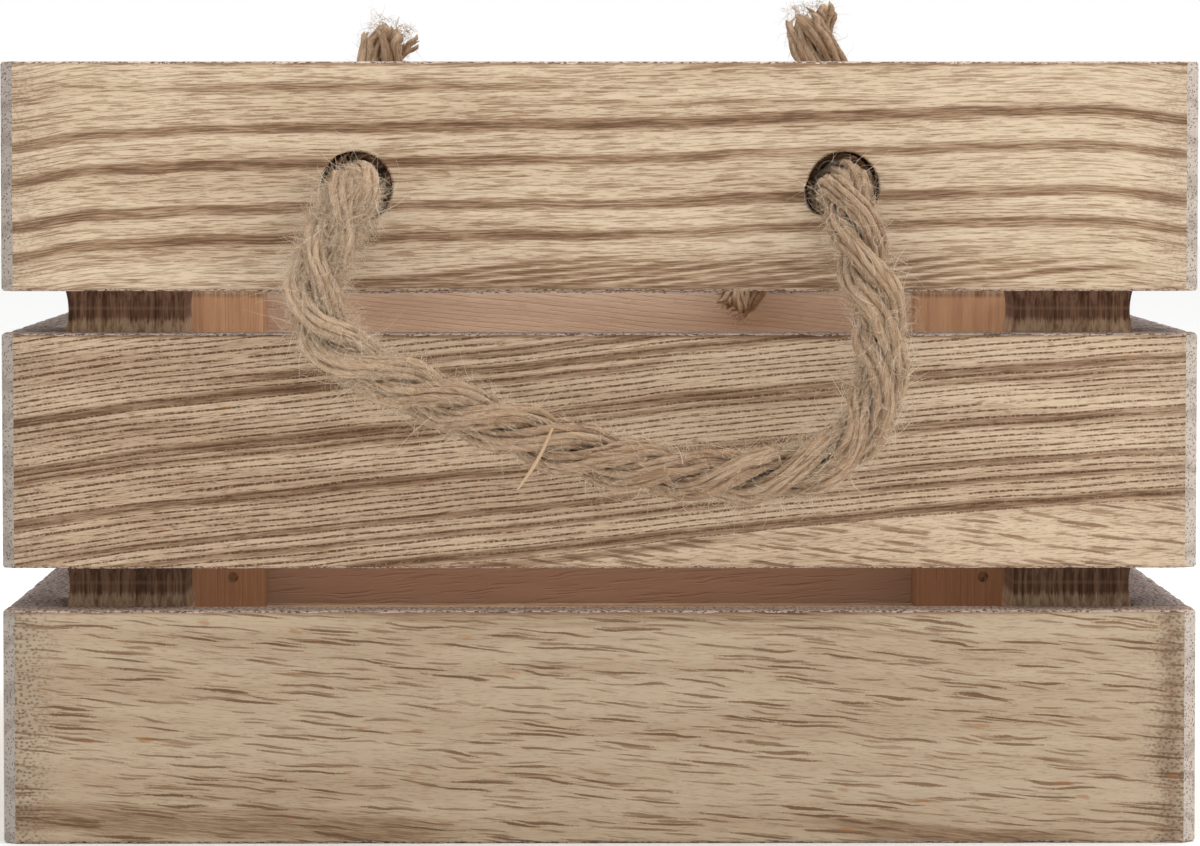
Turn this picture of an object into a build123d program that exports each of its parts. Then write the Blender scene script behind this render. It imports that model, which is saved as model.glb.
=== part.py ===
"""Slatted wooden crate with a rope handle at each end, in millimetres.

The crate stands on its base with +Z up and its origin at the middle of the base. The two end walls,
which carry the rope handles, face -Y (front) and +Y (rear). The long side walls face -X and +X.
"""

import math
import os

from build123d import *

# Overall size
CRATE_WIDTH = 210.0  # over the ends of the end slats, along X
CRATE_LENGTH = 300.0  # over the outer faces of the end slats, along Y

# Slats: three rows, laid from the base up
SLAT_THICKNESS = 10.5
SLAT_HEIGHTS = {"bottom": 41.1, "middle": 41.3, "top": 40.2}
SLAT_GAP = 7.4
END_BEVEL = 2.2  # bevel down the upright outer edges of the end slats
EDGE_EASE = 0.3  # worn rounding along every long edge

# Corner posts: square, standing on the floor in the inner corners
POST_SIZE = 21.4
POST_TOP_DROP = 3.0  # from the rim down to the top of a post
SCOOP_DEPTH = 0.5  # hollow brushed into the posts where the gaps leave them bare

# Floor: boards laid lengthwise inside the walls, nailed up into the posts and two cleats
FLOOR_THICKNESS = 7.0
FLOOR_BOARDS = 4
FLOOR_GAP = 3.0
CLEAT_DEPTH = 12.0  # along Y
CLEAT_HEIGHT = 12.0

# Brads: driven from inside and from below, so that no head shows on the walls
BRAD_SHANK = 1.4
BRAD_HEAD = 2.4
BRAD_HEAD_THICKNESS = 0.5
BRAD_POINT = 1.8
SLAT_BITE = 6.5  # how far a brad goes into a slat, beyond the post or cleat that it fixes
FLOOR_BITE = 10.0  # how far a floor brad goes up into a post or a cleat
END_BRAD_RISE = 6.0  # above and below the middle of a slat
SIDE_BRAD_RISE = 11.0
BRAD_STAGGER = 4.0  # to either side of a post's middle
BOARD_BRAD_STAGGER = 10.0  # to either side of an inner board's middle

# Rope handles
ROPE_DIAMETER = 10.0
ROPE_CLEARANCE = 1.0  # all round the rope in its hole
HOLE_SPACING = 85.2  # between the middles of the two holes of one end
HOLE_DROP = 22.0  # from the rim down to the middle of a hole
SWING_CLEARANCE = 0.3  # between a loop's ball ends and the slat that they turn against
KNOT_DIAMETER = 26.0
KNOT_LENGTH = 20.0
KNOT_FRONT_ROUND = 4.0  # rounding of the knot towards the slat
KNOT_BACK_ROUND = 8.5
KNOT_SHOULDER = 9.5  # from the knot's axis to the flat that its tail leaves

# Levels and planes that follow from the sizes above
SLAT_BASES = {
    "bottom": 0.0,
    "middle": SLAT_HEIGHTS["bottom"] + SLAT_GAP,
    "top": SLAT_HEIGHTS["bottom"] + SLAT_HEIGHTS["middle"] + 2 * SLAT_GAP,
}
CRATE_HEIGHT = SLAT_BASES["top"] + SLAT_HEIGHTS["top"]
GAP_MIDDLES = [SLAT_BASES[row] - SLAT_GAP / 2 for row in ("middle", "top")]
INNER_X = CRATE_WIDTH / 2 - SLAT_THICKNESS
INNER_Y = CRATE_LENGTH / 2 - SLAT_THICKNESS
POST_X = INNER_X - POST_SIZE / 2
POST_Y = INNER_Y - POST_SIZE / 2
ROPE_HOLE = ROPE_DIAMETER + 2 * ROPE_CLEARANCE
POST_HEIGHT = CRATE_HEIGHT - POST_TOP_DROP - FLOOR_THICKNESS
BOARD_WIDTH = (2 * INNER_X - (FLOOR_BOARDS - 1) * FLOOR_GAP) / FLOOR_BOARDS
BOARD_MIDDLES = [(i - (FLOOR_BOARDS - 1) / 2) * (BOARD_WIDTH + FLOOR_GAP) for i in range(FLOOR_BOARDS)]
BOARD_GAPS = [(i - (FLOOR_BOARDS - 2) / 2) * (BOARD_WIDTH + FLOOR_GAP) for i in range(FLOOR_BOARDS - 1)]
CLEAT_Y = INNER_Y - CLEAT_DEPTH / 2
HOLE_X = HOLE_SPACING / 2
HOLE_Z = CRATE_HEIGHT - HOLE_DROP
SWING_REACH = ROPE_DIAMETER / 2 + SWING_CLEARANCE  # from an end wall out to a loop's swing axis

ENDS = {"front": -1, "rear": 1}
SIDES = {"left": -1, "right": 1}

# Routes of the hanging loops, hole to hole: across (X), proud of the end wall, and up (Z).
LOOP_ROUTES = {
    "front": [
        (-HOLE_X, SWING_REACH, HOLE_Z),
        (-46.5, 9.4, 107.2),
        (-50.6, 14.0, 97.7),
        (-46.8, 17.0, 88.2),
        (-34.7, 19.0, 81.6),
        (-17.4, 21.0, 74.6),
        (-0.2, 22.0, 69.0),
        (17.0, 22.2, 65.7),
        (34.3, 21.0, 66.5),
        (45.0, 19.5, 72.5),
        (49.0, 17.5, 83.1),
        (48.0, 14.5, 94.2),
        (44.8, 9.9, 105.6),
        (HOLE_X, SWING_REACH, HOLE_Z),
    ],
    "rear": [
        (-HOLE_X, SWING_REACH, HOLE_Z),
        (-45.0, 9.8, 105.9),
        (-47.6, 14.0, 95.0),
        (-47.5, 17.0, 84.5),
        (-41.5, 19.3, 75.6),
        (-30.0, 21.0, 69.8),
        (-14.0, 22.0, 66.6),
        (3.5, 22.3, 66.4),
        (20.5, 21.5, 70.0),
        (35.5, 20.0, 76.4),
        (45.5, 17.8, 83.9),
        (49.6, 15.0, 93.3),
        (46.4, 9.8, 106.0),
        (HOLE_X, SWING_REACH, HOLE_Z),
    ],
}

# Tails beyond the knots, from the knot's flat: across (X), inward from the inner face of the wall, up.
# The first run stands square on the flat. Three tails stand up and one hangs down.
TAIL_DEPTH = KNOT_LENGTH / 2
TAIL_ROUTES = {
    ("front", "left"): [
        (-41.0, TAIL_DEPTH, HOLE_Z + KNOT_SHOULDER),
        (-41.0, TAIL_DEPTH, 131.0),
        (-36.5, 11.0, 145.3),
    ],
    ("front", "right"): [
        (41.0, TAIL_DEPTH, HOLE_Z + KNOT_SHOULDER),
        (41.0, TAIL_DEPTH, 132.0),
        (36.8, 11.0, 148.6),
    ],
    ("rear", "left"): [
        (-43.0, TAIL_DEPTH, HOLE_Z + KNOT_SHOULDER),
        (-43.0, TAIL_DEPTH, 131.5),
        (-47.0, 12.0, 139.5),
    ],
    ("rear", "right"): [
        (40.0, TAIL_DEPTH, HOLE_Z - KNOT_SHOULDER),
        (40.0, TAIL_DEPTH, 98.5),
        (31.5, 11.5, 85.0),
    ],
}


def save(piece, name):
    """Label a finished piece and write it as its own STEP file."""
    piece.part.label = name
    export_step(piece.part, f"parts/{name}.step")


# Brads


def make_brad(length):
    """One headed brad that stands on the origin, its head at the bottom and its point up."""
    with BuildPart() as brad:
        with BuildSketch(Plane.XZ):
            with BuildLine():
                Polyline(
                    (0, 0),
                    (BRAD_HEAD / 2, 0),
                    (BRAD_HEAD / 2, BRAD_HEAD_THICKNESS),
                    (BRAD_SHANK / 2, BRAD_HEAD_THICKNESS),
                    (BRAD_SHANK / 2, length - BRAD_POINT),
                    (0, length),
                    close=True,
                )
            make_face()
        revolve(axis=Axis.Z)
    return brad.part


def make_brads(name, length, seats):
    """One group of brads, a separate solid in each seat; a seat's plane faces along its brad."""
    brad = make_brad(length)
    with BuildPart() as group:
        with Locations(*seats):
            add(brad)
    save(group, name)
    return group.part


def row_middle(row):
    return SLAT_BASES[row] + SLAT_HEIGHTS[row] / 2


def end_brad_seats(end):
    """Seats on the inner faces of one end's posts, facing out into its end slats."""
    seats = []
    for side in SIDES.values():
        for row in SLAT_BASES:
            for step in (-1, 1):
                place = (
                    side * POST_X + step * BRAD_STAGGER,
                    end * (INNER_Y - POST_SIZE),
                    row_middle(row) + step * END_BRAD_RISE,
                )
                seats.append(Plane(origin=place, z_dir=(0, end, 0)))
    return seats


def side_brad_seats(side):
    """Seats on the inner faces of one side's posts, facing out into its side slats."""
    seats = []
    for end in ENDS.values():
        for row in SLAT_BASES:
            for step in (-1, 1):
                place = (
                    side * (INNER_X - POST_SIZE),
                    end * POST_Y + step * BRAD_STAGGER,
                    row_middle(row) + step * SIDE_BRAD_RISE,
                )
                seats.append(Plane(origin=place, z_dir=(side, 0, 0)))
    return seats


def cleat_brad_seats(end):
    """Seats on the inner face of one cleat, over the floor's gaps, facing out into the bottom end slat."""
    height = FLOOR_THICKNESS + CLEAT_HEIGHT / 2
    return [Plane(origin=(x, end * (INNER_Y - CLEAT_DEPTH), height), z_dir=(0, end, 0)) for x in BOARD_GAPS]


def floor_brad_seats():
    """Seats under the floor boards, facing up into the posts and the cleats."""
    outer_edge = INNER_X - POST_SIZE
    shared_x = (outer_edge + BOARD_MIDDLES[-1] - BOARD_WIDTH / 2) / 2
    cleat_xs = [-shared_x, shared_x]
    for middle in BOARD_MIDDLES[1:-1]:
        cleat_xs += [middle - BOARD_BRAD_STAGGER, middle + BOARD_BRAD_STAGGER]
    seats = []
    for end in ENDS.values():
        for side in SIDES.values():
            seats.append(Plane(origin=(side * POST_X, end * POST_Y, 0), z_dir=(0, 0, 1)))
        for x in cleat_xs:
            seats.append(Plane(origin=(x, end * CLEAT_Y, 0), z_dir=(0, 0, 1)))
    return seats


# Timber


def make_end_slat(row, end_name, brads):
    """One end slat, the full width of the crate, bevelled down its upright outer edges."""
    end = ENDS[end_name]
    with BuildPart() as slat:
        with BuildSketch(Plane.XY.offset(SLAT_BASES[row])) as outline:
            with Locations((0, end * (CRATE_LENGTH - SLAT_THICKNESS) / 2)):
                Rectangle(CRATE_WIDTH, SLAT_THICKNESS)
            outer_corners = outline.vertices().group_by(Axis.Y)[-1 if end > 0 else 0]
            chamfer(outer_corners, length=END_BEVEL)
        extrude(amount=SLAT_HEIGHTS[row])
        long_edges = slat.faces().filter_by(Axis.Z).edges()
        fillet(long_edges, radius=EDGE_EASE)
        if row == "top":
            with BuildSketch(Plane.XZ):
                with Locations((-HOLE_X, HOLE_Z), (HOLE_X, HOLE_Z)):
                    Circle(ROPE_HOLE / 2)
            extrude(amount=CRATE_LENGTH, both=True, mode=Mode.SUBTRACT)
        for group in brads:
            add(group, mode=Mode.SUBTRACT)
    save(slat, f"slat_{end_name}_{row}")


def make_side_slat(row, side_name, brads):
    """One side slat, which butts against the backs of the end slats."""
    side = SIDES[side_name]
    with BuildPart() as slat:
        with BuildSketch(Plane.XY.offset(SLAT_BASES[row])):
            with Locations((side * (CRATE_WIDTH - SLAT_THICKNESS) / 2, 0)):
                Rectangle(SLAT_THICKNESS, 2 * INNER_Y)
        extrude(amount=SLAT_HEIGHTS[row])
        fillet(slat.edges().filter_by(Axis.Y), radius=EDGE_EASE)
        add(brads, mode=Mode.SUBTRACT)
    save(slat, f"slat_{side_name}_{row}")


def make_post(end_name, side_name, brads):
    """One square corner post, with a shallow scoop on each face at each gap between the slats."""
    x = SIDES[side_name] * POST_X
    y = ENDS[end_name] * POST_Y
    scoop_radius = (SLAT_GAP**2 / 4 + SCOOP_DEPTH**2) / (2 * SCOOP_DEPTH)
    reach = POST_SIZE / 2 + scoop_radius - SCOOP_DEPTH
    with BuildPart() as post:
        with BuildSketch(Plane.XY.offset(FLOOR_THICKNESS)):
            with Locations((x, y)):
                Rectangle(POST_SIZE, POST_SIZE)
        extrude(amount=POST_HEIGHT)
        fillet(post.edges().filter_by(Axis.Z), radius=EDGE_EASE)
        for height in GAP_MIDDLES:
            with BuildSketch(Plane.XZ.offset(-y)):
                with Locations((x - reach, height), (x + reach, height)):
                    Circle(scoop_radius)
            extrude(amount=POST_SIZE, both=True, mode=Mode.SUBTRACT)
            with BuildSketch(Plane.YZ.offset(x)):
                with Locations((y - reach, height), (y + reach, height)):
                    Circle(scoop_radius)
            extrude(amount=POST_SIZE, both=True, mode=Mode.SUBTRACT)
        for group in brads:
            add(group, mode=Mode.SUBTRACT)
    save(post, f"post_{end_name}_{side_name}")


def make_floor_board(number, brads):
    """One floor board, which lies inside the walls over their whole inner length."""
    with BuildPart() as board:
        with BuildSketch(Plane.XY):
            with Locations((BOARD_MIDDLES[number], 0)):
                Rectangle(BOARD_WIDTH, 2 * INNER_Y)
        extrude(amount=FLOOR_THICKNESS)
        fillet(board.edges().filter_by(Axis.Y), radius=EDGE_EASE)
        add(brads, mode=Mode.SUBTRACT)
    save(board, f"floor_board_{number + 1}")


def make_cleat(end_name, brads):
    """One cleat, which lies on the floor between the posts, against the bottom end slat."""
    with BuildPart() as cleat:
        with BuildSketch(Plane.XY.offset(FLOOR_THICKNESS)):
            with Locations((0, ENDS[end_name] * CLEAT_Y)):
                Rectangle(2 * (INNER_X - POST_SIZE), CLEAT_DEPTH)
        extrude(amount=CLEAT_HEIGHT)
        top_edges = cleat.edges().filter_by(Axis.X).group_by(Axis.Z)[-1]
        fillet(top_edges, radius=EDGE_EASE)
        for group in brads:
            add(group, mode=Mode.SUBTRACT)
    save(cleat, f"floor_cleat_{end_name}")


# Rope


def route_radii(points):
    """One radius for each corner: 0.45 of its shorter run, divided by the tangent of half its turn."""
    runs = [b - a for a, b in zip(points, points[1:])]
    radii = []
    for before, after in zip(runs, runs[1:]):
        half_turn = math.radians(before.get_angle(after)) / 2
        radii.append(0.45 * min(before.length, after.length) / math.tan(half_turn))
    return radii


def make_tube(name, points, ball_ends=False):
    """Sweep the rope's round section along straight runs joined by arcs, with a ball at each end if asked."""
    radius = ROPE_DIAMETER / 2
    bends = route_radii(points)
    with BuildPart() as tube:
        with BuildLine() as path:
            FilletPolyline(*points, radius=bends)
        route = path.wire()
        with BuildSketch(Plane(origin=route @ 0, z_dir=route % 0)):
            Circle(radius)
        sweep()
        expected = math.pi * radius**2 * route.length
        if ball_ends:
            with Locations(points[0], points[-1]):
                Sphere(radius)
            expected += 4 / 3 * math.pi * radius**3
    print(f"{name}: length {route.length:.1f}, bend radii {[round(bend, 1) for bend in bends]}")
    print(f"  volume {tube.part.volume:.0f}, section times length {expected:.0f}")
    save(tube, name)


def make_loop(end_name):
    """One hanging handle loop; its ball ends are centred on the axis that it swings about."""
    end = ENDS[end_name]
    points = [Vector(x, end * (CRATE_LENGTH / 2 + proud), z) for x, proud, z in LOOP_ROUTES[end_name]]
    make_tube(f"handle_loop_{end_name}", points, ball_ends=True)


def make_neck(end_name, side_name):
    """The straight stretch of rope inside one hole, from the knot to the outer face of the wall."""
    end = ENDS[end_name]
    plane = Plane(origin=(SIDES[side_name] * HOLE_X, end * INNER_Y, HOLE_Z), z_dir=(0, end, 0))
    with BuildPart() as neck:
        with BuildSketch(plane):
            Circle(ROPE_DIAMETER / 2)
        extrude(amount=SLAT_THICKNESS)
    save(neck, f"rope_neck_{end_name}_{side_name}")


def make_knot(end_name, side_name):
    """One stopper knot, a rounded lump against the inside of the wall, flat where its tail leaves."""
    end = ENDS[end_name]
    x = SIDES[side_name] * HOLE_X
    tail_start = TAIL_ROUTES[end_name, side_name][0][2]
    flat = Plane(origin=(x, end * INNER_Y, tail_start), z_dir=(0, 0, 1))
    seat = Plane(origin=(x, end * INNER_Y, HOLE_Z), z_dir=(0, -end, 0))
    outward = Axis((0, 0, 0), (0, end, 0))
    with BuildPart() as knot:
        with BuildSketch(seat):
            Circle(KNOT_DIAMETER / 2)
        extrude(amount=KNOT_LENGTH)
        fillet(knot.edges().filter_by(GeomType.CIRCLE).sort_by(outward)[0], radius=KNOT_BACK_ROUND)
        fillet(knot.edges().filter_by(GeomType.CIRCLE).sort_by(outward)[-1], radius=KNOT_FRONT_ROUND)
        split(bisect_by=flat, keep=Keep.BOTTOM if tail_start > HOLE_Z else Keep.TOP)
    save(knot, f"knot_{end_name}_{side_name}")


def make_tail(end_name, side_name):
    """The short free end of rope beyond one knot."""
    end = ENDS[end_name]
    points = [Vector(x, end * (INNER_Y - inward), z) for x, inward, z in TAIL_ROUTES[end_name, side_name]]
    make_tube(f"rope_tail_{end_name}_{side_name}", points)


os.makedirs("parts", exist_ok=True)

end_brads = {
    name: make_brads(f"end_brads_{name}", POST_SIZE + SLAT_BITE, end_brad_seats(end))
    for name, end in ENDS.items()
}
side_brads = {
    name: make_brads(f"side_brads_{name}", POST_SIZE + SLAT_BITE, side_brad_seats(side))
    for name, side in SIDES.items()
}
cleat_brads = {
    name: make_brads(f"cleat_brads_{name}", CLEAT_DEPTH + SLAT_BITE, cleat_brad_seats(end))
    for name, end in ENDS.items()
}
floor_brads = make_brads("floor_brads", FLOOR_THICKNESS + FLOOR_BITE, floor_brad_seats())

for row_name in SLAT_BASES:
    for wall in ENDS:
        make_end_slat(row_name, wall, [end_brads[wall], cleat_brads[wall]])
    for wall in SIDES:
        make_side_slat(row_name, wall, side_brads[wall])
for board_number in range(FLOOR_BOARDS):
    make_floor_board(board_number, floor_brads)
for wall in ENDS:
    make_cleat(wall, [cleat_brads[wall], floor_brads])
    make_loop(wall)
    for corner in SIDES:
        make_post(wall, corner, [end_brads[wall], side_brads[corner], floor_brads])
        make_neck(wall, corner)
        make_knot(wall, corner)
        make_tail(wall, corner)
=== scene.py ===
"""Slatted wooden crate with a rope handle at each end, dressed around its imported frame.

The crate stands on its base with +Z up. Its end walls, which carry the rope handles, face -Y (front)
and +Y (rear), and its side walls face -X and +X. Sizes are in millimetres unless a name or comment
says otherwise; finished meshes are in metres, in the frame's own place.
"""

from __future__ import annotations

import logging
import math
from dataclasses import dataclass, field, replace
from enum import Enum

import bpy
import numpy as np
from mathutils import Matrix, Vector


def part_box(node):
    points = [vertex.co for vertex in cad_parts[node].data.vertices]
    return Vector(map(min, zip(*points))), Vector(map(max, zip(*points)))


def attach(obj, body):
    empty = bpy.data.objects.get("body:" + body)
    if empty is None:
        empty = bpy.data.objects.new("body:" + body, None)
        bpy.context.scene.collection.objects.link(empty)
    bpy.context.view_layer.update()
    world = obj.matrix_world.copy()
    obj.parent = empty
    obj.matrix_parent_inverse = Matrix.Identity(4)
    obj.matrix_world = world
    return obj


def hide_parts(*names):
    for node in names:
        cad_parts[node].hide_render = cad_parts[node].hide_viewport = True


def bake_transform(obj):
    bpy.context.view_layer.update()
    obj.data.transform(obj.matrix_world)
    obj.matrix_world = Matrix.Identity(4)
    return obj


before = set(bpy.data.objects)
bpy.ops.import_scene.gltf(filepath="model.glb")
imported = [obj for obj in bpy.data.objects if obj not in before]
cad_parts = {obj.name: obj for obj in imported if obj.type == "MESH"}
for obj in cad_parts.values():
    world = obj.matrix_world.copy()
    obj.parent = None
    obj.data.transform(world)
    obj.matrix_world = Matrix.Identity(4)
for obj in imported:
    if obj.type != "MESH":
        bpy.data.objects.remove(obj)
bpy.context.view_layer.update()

MM = 0.001
START_OF_ALL = -400.0
TONE_STOPS = (0.0, 0.2, 0.45, 0.72, 1.0)
LOG = logging.getLogger("crate")

Colour = tuple[float, float, float]
Point = tuple[float, float, float]
Scales = tuple[float, float, float]
Socket = bpy.types.NodeSocket
Value = Socket | float
Tone = Socket | Colour
Face = tuple[int, ...]
Marks = dict[str, np.ndarray]
Skin = tuple[np.ndarray, list[Face], Marks]


class End(Enum):
    """The two end walls; the value is the way that each faces along Y."""

    FRONT = -1
    REAR = 1


class Side(Enum):
    """The two long sides; the value is the way that each faces along X."""

    LEFT = -1
    RIGHT = 1


class Lie(Enum):
    """How a piece of timber lies: the axes of its grain, its width and its thickness."""

    ALONG_END = (0, 2, 1)
    ALONG_SIDE = (1, 2, 0)
    UPRIGHT = (2, 0, 1)
    ON_FLOOR = (1, 0, 2)
    CROSS_FLOOR = (0, 1, 2)


def linear(colour: Colour) -> tuple[float, float, float, float]:
    """Turn a colour as painters name it, 0 to 255, into the light values that a shader takes.

    Args:
        colour: Red, green and blue from 0 to 255.

    Returns:
        Red, green, blue and a full alpha, from 0 to 1.
    """
    parts = [c / 255 for c in colour]
    red, green, blue = (c / 12.92 if c <= 0.04045 else ((c + 0.055) / 1.055) ** 2.4 for c in parts)
    return red, green, blue, 1.0


class Ripple:
    """A smooth uneven line made of a few seeded waves; its values lie mostly within -1 and 1."""

    def __init__(self, seed: int, longest: float, shortest: float, waves: int = 7) -> None:
        """Draw the waves.

        Args:
            seed: Seed of the draw.
            longest: Length of the longest wave.
            shortest: Length of the shortest wave.
            waves: How many waves are added up.
        """
        draw = np.random.default_rng(seed)
        lengths = np.geomspace(longest, shortest, waves) * draw.uniform(0.85, 1.15, waves)
        self.turns = 2 * math.pi / lengths
        self.shifts = draw.uniform(0, 2 * math.pi, waves)
        heights = np.sqrt(lengths / longest)
        self.heights = heights / math.sqrt((heights**2).sum() / 2) * 0.7

    def at(self, place: np.ndarray) -> np.ndarray:
        """Give the line's height at each place along it."""
        return (np.sin(np.multiply.outer(place, self.turns) + self.shifts) * self.heights).sum(-1)


def ease(value: np.ndarray, low: float, high: float) -> np.ndarray:
    """Rise smoothly from 0 at low to 1 at high; low may be the larger of the two."""
    share = np.clip((value - low) / (high - low), 0, 1)
    return share * share * (3 - 2 * share)


def unit(rows: np.ndarray) -> np.ndarray:
    """Scale each row to a length of 1."""
    return rows / np.linalg.norm(rows, axis=-1, keepdims=True)


def tube(rings: int, sides: int, base: int = 0, flip: bool = False) -> list[Face]:
    """List the faces of a closed tube.

    Args:
        rings: How many rings of points it has.
        sides: How many points each ring has.
        base: Number of its first point.
        flip: Whether its faces look the other way.

    Returns:
        The faces: its sides ring by ring, and then its two ends.
    """
    faces: list[Face] = []
    for row in range(rings - 1):
        start = base + row * sides
        for k in range(sides):
            p, q = start + k, start + (k + 1) % sides
            faces.append((p, q, q + sides, p + sides))
    last = base + (rings - 1) * sides
    faces += [tuple(reversed(range(base, base + sides))), tuple(range(last, last + sides))]
    return [face[::-1] for face in faces] if flip else faces


def put_mesh(
    name: str,
    points: np.ndarray,
    faces: list[Face],
    marks: Marks | None = None,
    sharp: float = 40.0,
) -> bpy.types.Object:
    """Make one mesh object and link it to the scene.

    Args:
        name: Name of the object.
        points: Its points, in metres in the frame.
        faces: Its faces, as rows of point numbers.
        marks: Values kept on each point, by name, one or three numbers a point.
        sharp: Angle in degrees above which an edge stays crisp.

    Returns:
        The new object.
    """
    mesh = bpy.data.meshes.new(name)
    mesh.from_pydata(points.tolist(), [], faces)
    for mark, values in (marks or {}).items():
        kind = "FLOAT_VECTOR" if values.ndim == 2 else "FLOAT"
        kept = mesh.attributes.new(mark, kind, "POINT")
        kept.data.foreach_set("vector" if values.ndim == 2 else "value", values.astype(np.float32).ravel())
    mesh.polygons.foreach_set("use_smooth", np.ones(len(mesh.polygons), bool))
    mesh.set_sharp_from_angle(angle=math.radians(sharp))
    mesh.update()
    piece = bpy.data.objects.new(name, mesh)
    bpy.context.scene.collection.objects.link(piece)
    return piece


def wear(piece: bpy.types.Object, finish: bpy.types.Material) -> None:
    """Give a piece one finish all over."""
    piece.data.materials.clear()
    piece.data.materials.append(finish)


# Finishes


class Bench:
    """One finish's node tree, with a short call for each kind of node that the finishes use."""

    def __init__(self, name: str) -> None:
        """Start an empty finish.

        Args:
            name: Name of the finish.
        """
        self.material = bpy.data.materials.new(name)
        self.material.use_nodes = True
        self.tree = self.material.node_tree
        self.tree.nodes.clear()

    def node(self, kind: str, **settings: object) -> bpy.types.Node:
        """Add a node.

        Args:
            kind: Its kind.
            settings: Its settings, by name.

        Returns:
            The new node.
        """
        made = self.tree.nodes.new(kind)
        for key, value in settings.items():
            setattr(made, key, value)
        return made

    def feed(self, socket: Socket, value: Value | tuple) -> None:
        """Link a socket to another, or set its own value.

        Args:
            socket: The socket to feed.
            value: The socket that it is linked to, or its own value.
        """
        if isinstance(value, Socket):
            self.tree.links.new(value, socket)
        else:
            socket.default_value = value

    def math(self, operation: str, *values: Value, clamp: bool = False) -> Socket:
        """Work out one sum.

        Args:
            operation: The kind of sum.
            values: Up to three values that go into it.
            clamp: Whether the result is held between 0 and 1.

        Returns:
            The result.
        """
        made = self.node("ShaderNodeMath", operation=operation, use_clamp=clamp)
        for socket, value in zip(made.inputs, values):
            self.feed(socket, value)
        return made.outputs[0]

    def times(self, *values: Value) -> Socket:
        """Multiply several values.

        Args:
            values: The values.

        Returns:
            Their product.
        """
        product = values[0]
        for value in values[1:]:
            product = self.math("MULTIPLY", product, value)
        return product

    def sway(self, value: Value, noise: Value, reach: float) -> Socket:
        """Move a value both ways by a noise, by half of the reach at most."""
        return self.math("MULTIPLY_ADD", self.math("SUBTRACT", noise, 0.5), reach, value)

    def span(
        self, value: Value, low: float, high: float, start: float = 0.0, stop: float = 1.0
    ) -> Socket:
        """Carry a value smoothly from one range to another, held at both ends.

        Args:
            value: The value.
            low: Where its own range starts, which may be the larger end.
            high: Where its own range stops.
            start: What it is at low and beyond.
            stop: What it is at high and beyond.

        Returns:
            The carried value.
        """
        made = self.node("ShaderNodeMapRange", interpolation_type="SMOOTHSTEP", clamp=True)
        for socket, given in zip(made.inputs, (value, low, high, start, stop)):
            self.feed(socket, given)
        return made.outputs[0]

    def vector(self, x: Value, y: Value, z: Value) -> Socket:
        """Join three values into one vector.

        Args:
            x: The first value.
            y: The second value.
            z: The third value.

        Returns:
            The vector.
        """
        made = self.node("ShaderNodeCombineXYZ")
        for socket, value in zip(made.inputs, (x, y, z)):
            self.feed(socket, value)
        return made.outputs[0]

    def stretched(
        self, parts: tuple[Value, ...], scales: Scales, shift: float = 0.0
    ) -> Socket:
        """Join three lengths, each times its own scale, and moved by a shift, into one vector."""
        moved = [self.math("MULTIPLY_ADD", part, scale, shift) for part, scale in zip(parts, scales)]
        return self.vector(*moved)

    def split(self, vector: Socket) -> list[Socket]:
        """Split a vector into its three values.

        Args:
            vector: The vector.

        Returns:
            Its values.
        """
        made = self.node("ShaderNodeSeparateXYZ")
        self.feed(made.inputs[0], vector)
        return list(made.outputs)

    def place(self, base: Point = (0.0, 0.0, 0.0)) -> Socket:
        """Give each place on the piece in millimetres.

        Args:
            base: The place to measure from, in metres.

        Returns:
            The places, as a vector.
        """
        moved = self.node("ShaderNodeVectorMath", operation="SUBTRACT")
        self.feed(moved.inputs[0], self.node("ShaderNodeTexCoord").outputs["Object"])
        moved.inputs[1].default_value = base
        sized = self.node("ShaderNodeVectorMath", operation="SCALE")
        self.feed(sized.inputs[0], moved.outputs[0])
        sized.inputs["Scale"].default_value = 1 / MM
        return sized.outputs[0]

    def normal(self) -> list[Socket]:
        """Give the three parts of the way that the surface faces."""
        return self.split(self.node("ShaderNodeNewGeometry").outputs["Normal"])

    def noise(
        self, vector: Socket, detail: float = 2.0, rough: float = 0.5, scale: float = 1.0
    ) -> Socket:
        """Strew smooth noise.

        Args:
            vector: The places to strew it over.
            detail: How many finer layers it has.
            rough: How strong each finer layer is.
            scale: How many of its lumps go to one unit.

        Returns:
            The noise, from 0 to 1.
        """
        made = self.node("ShaderNodeTexNoise", noise_dimensions="3D")
        self.feed(made.inputs["Vector"], vector)
        made.inputs["Scale"].default_value = scale
        made.inputs["Detail"].default_value = detail
        made.inputs["Roughness"].default_value = rough
        return made.outputs["Fac"]

    def cells(self, vector: Socket, loose: float = 1.0, flat: bool = False) -> Socket:
        """Strew one seed to each unit cell.

        Args:
            vector: The places to strew them over.
            loose: How far the seeds stray from an even grid, from 0 to 1.
            flat: Whether they lie on a flat face, and not in space.

        Returns:
            The distance to the nearest seed.
        """
        made = self.node("ShaderNodeTexVoronoi", feature="F1", distance="EUCLIDEAN")
        made.voronoi_dimensions = "2D" if flat else "3D"
        self.feed(made.inputs["Vector"], vector)
        made.inputs["Scale"].default_value = 1.0
        made.inputs["Randomness"].default_value = loose
        return made.outputs["Distance"]

    def mix(self, share: Value, low: Tone, high: Tone) -> Socket:
        """Mix two colours.

        Args:
            share: How much of the second there is, from 0 to 1.
            low: The first, a socket or a colour from 0 to 255.
            high: The second.

        Returns:
            The mixed colour.
        """
        made = self.node("ShaderNodeMix", data_type="RGBA")
        self.feed(made.inputs[0], share)
        self.feed(made.inputs[6], linear(low) if isinstance(low, tuple) else low)
        self.feed(made.inputs[7], linear(high) if isinstance(high, tuple) else high)
        return made.outputs[2]

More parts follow.
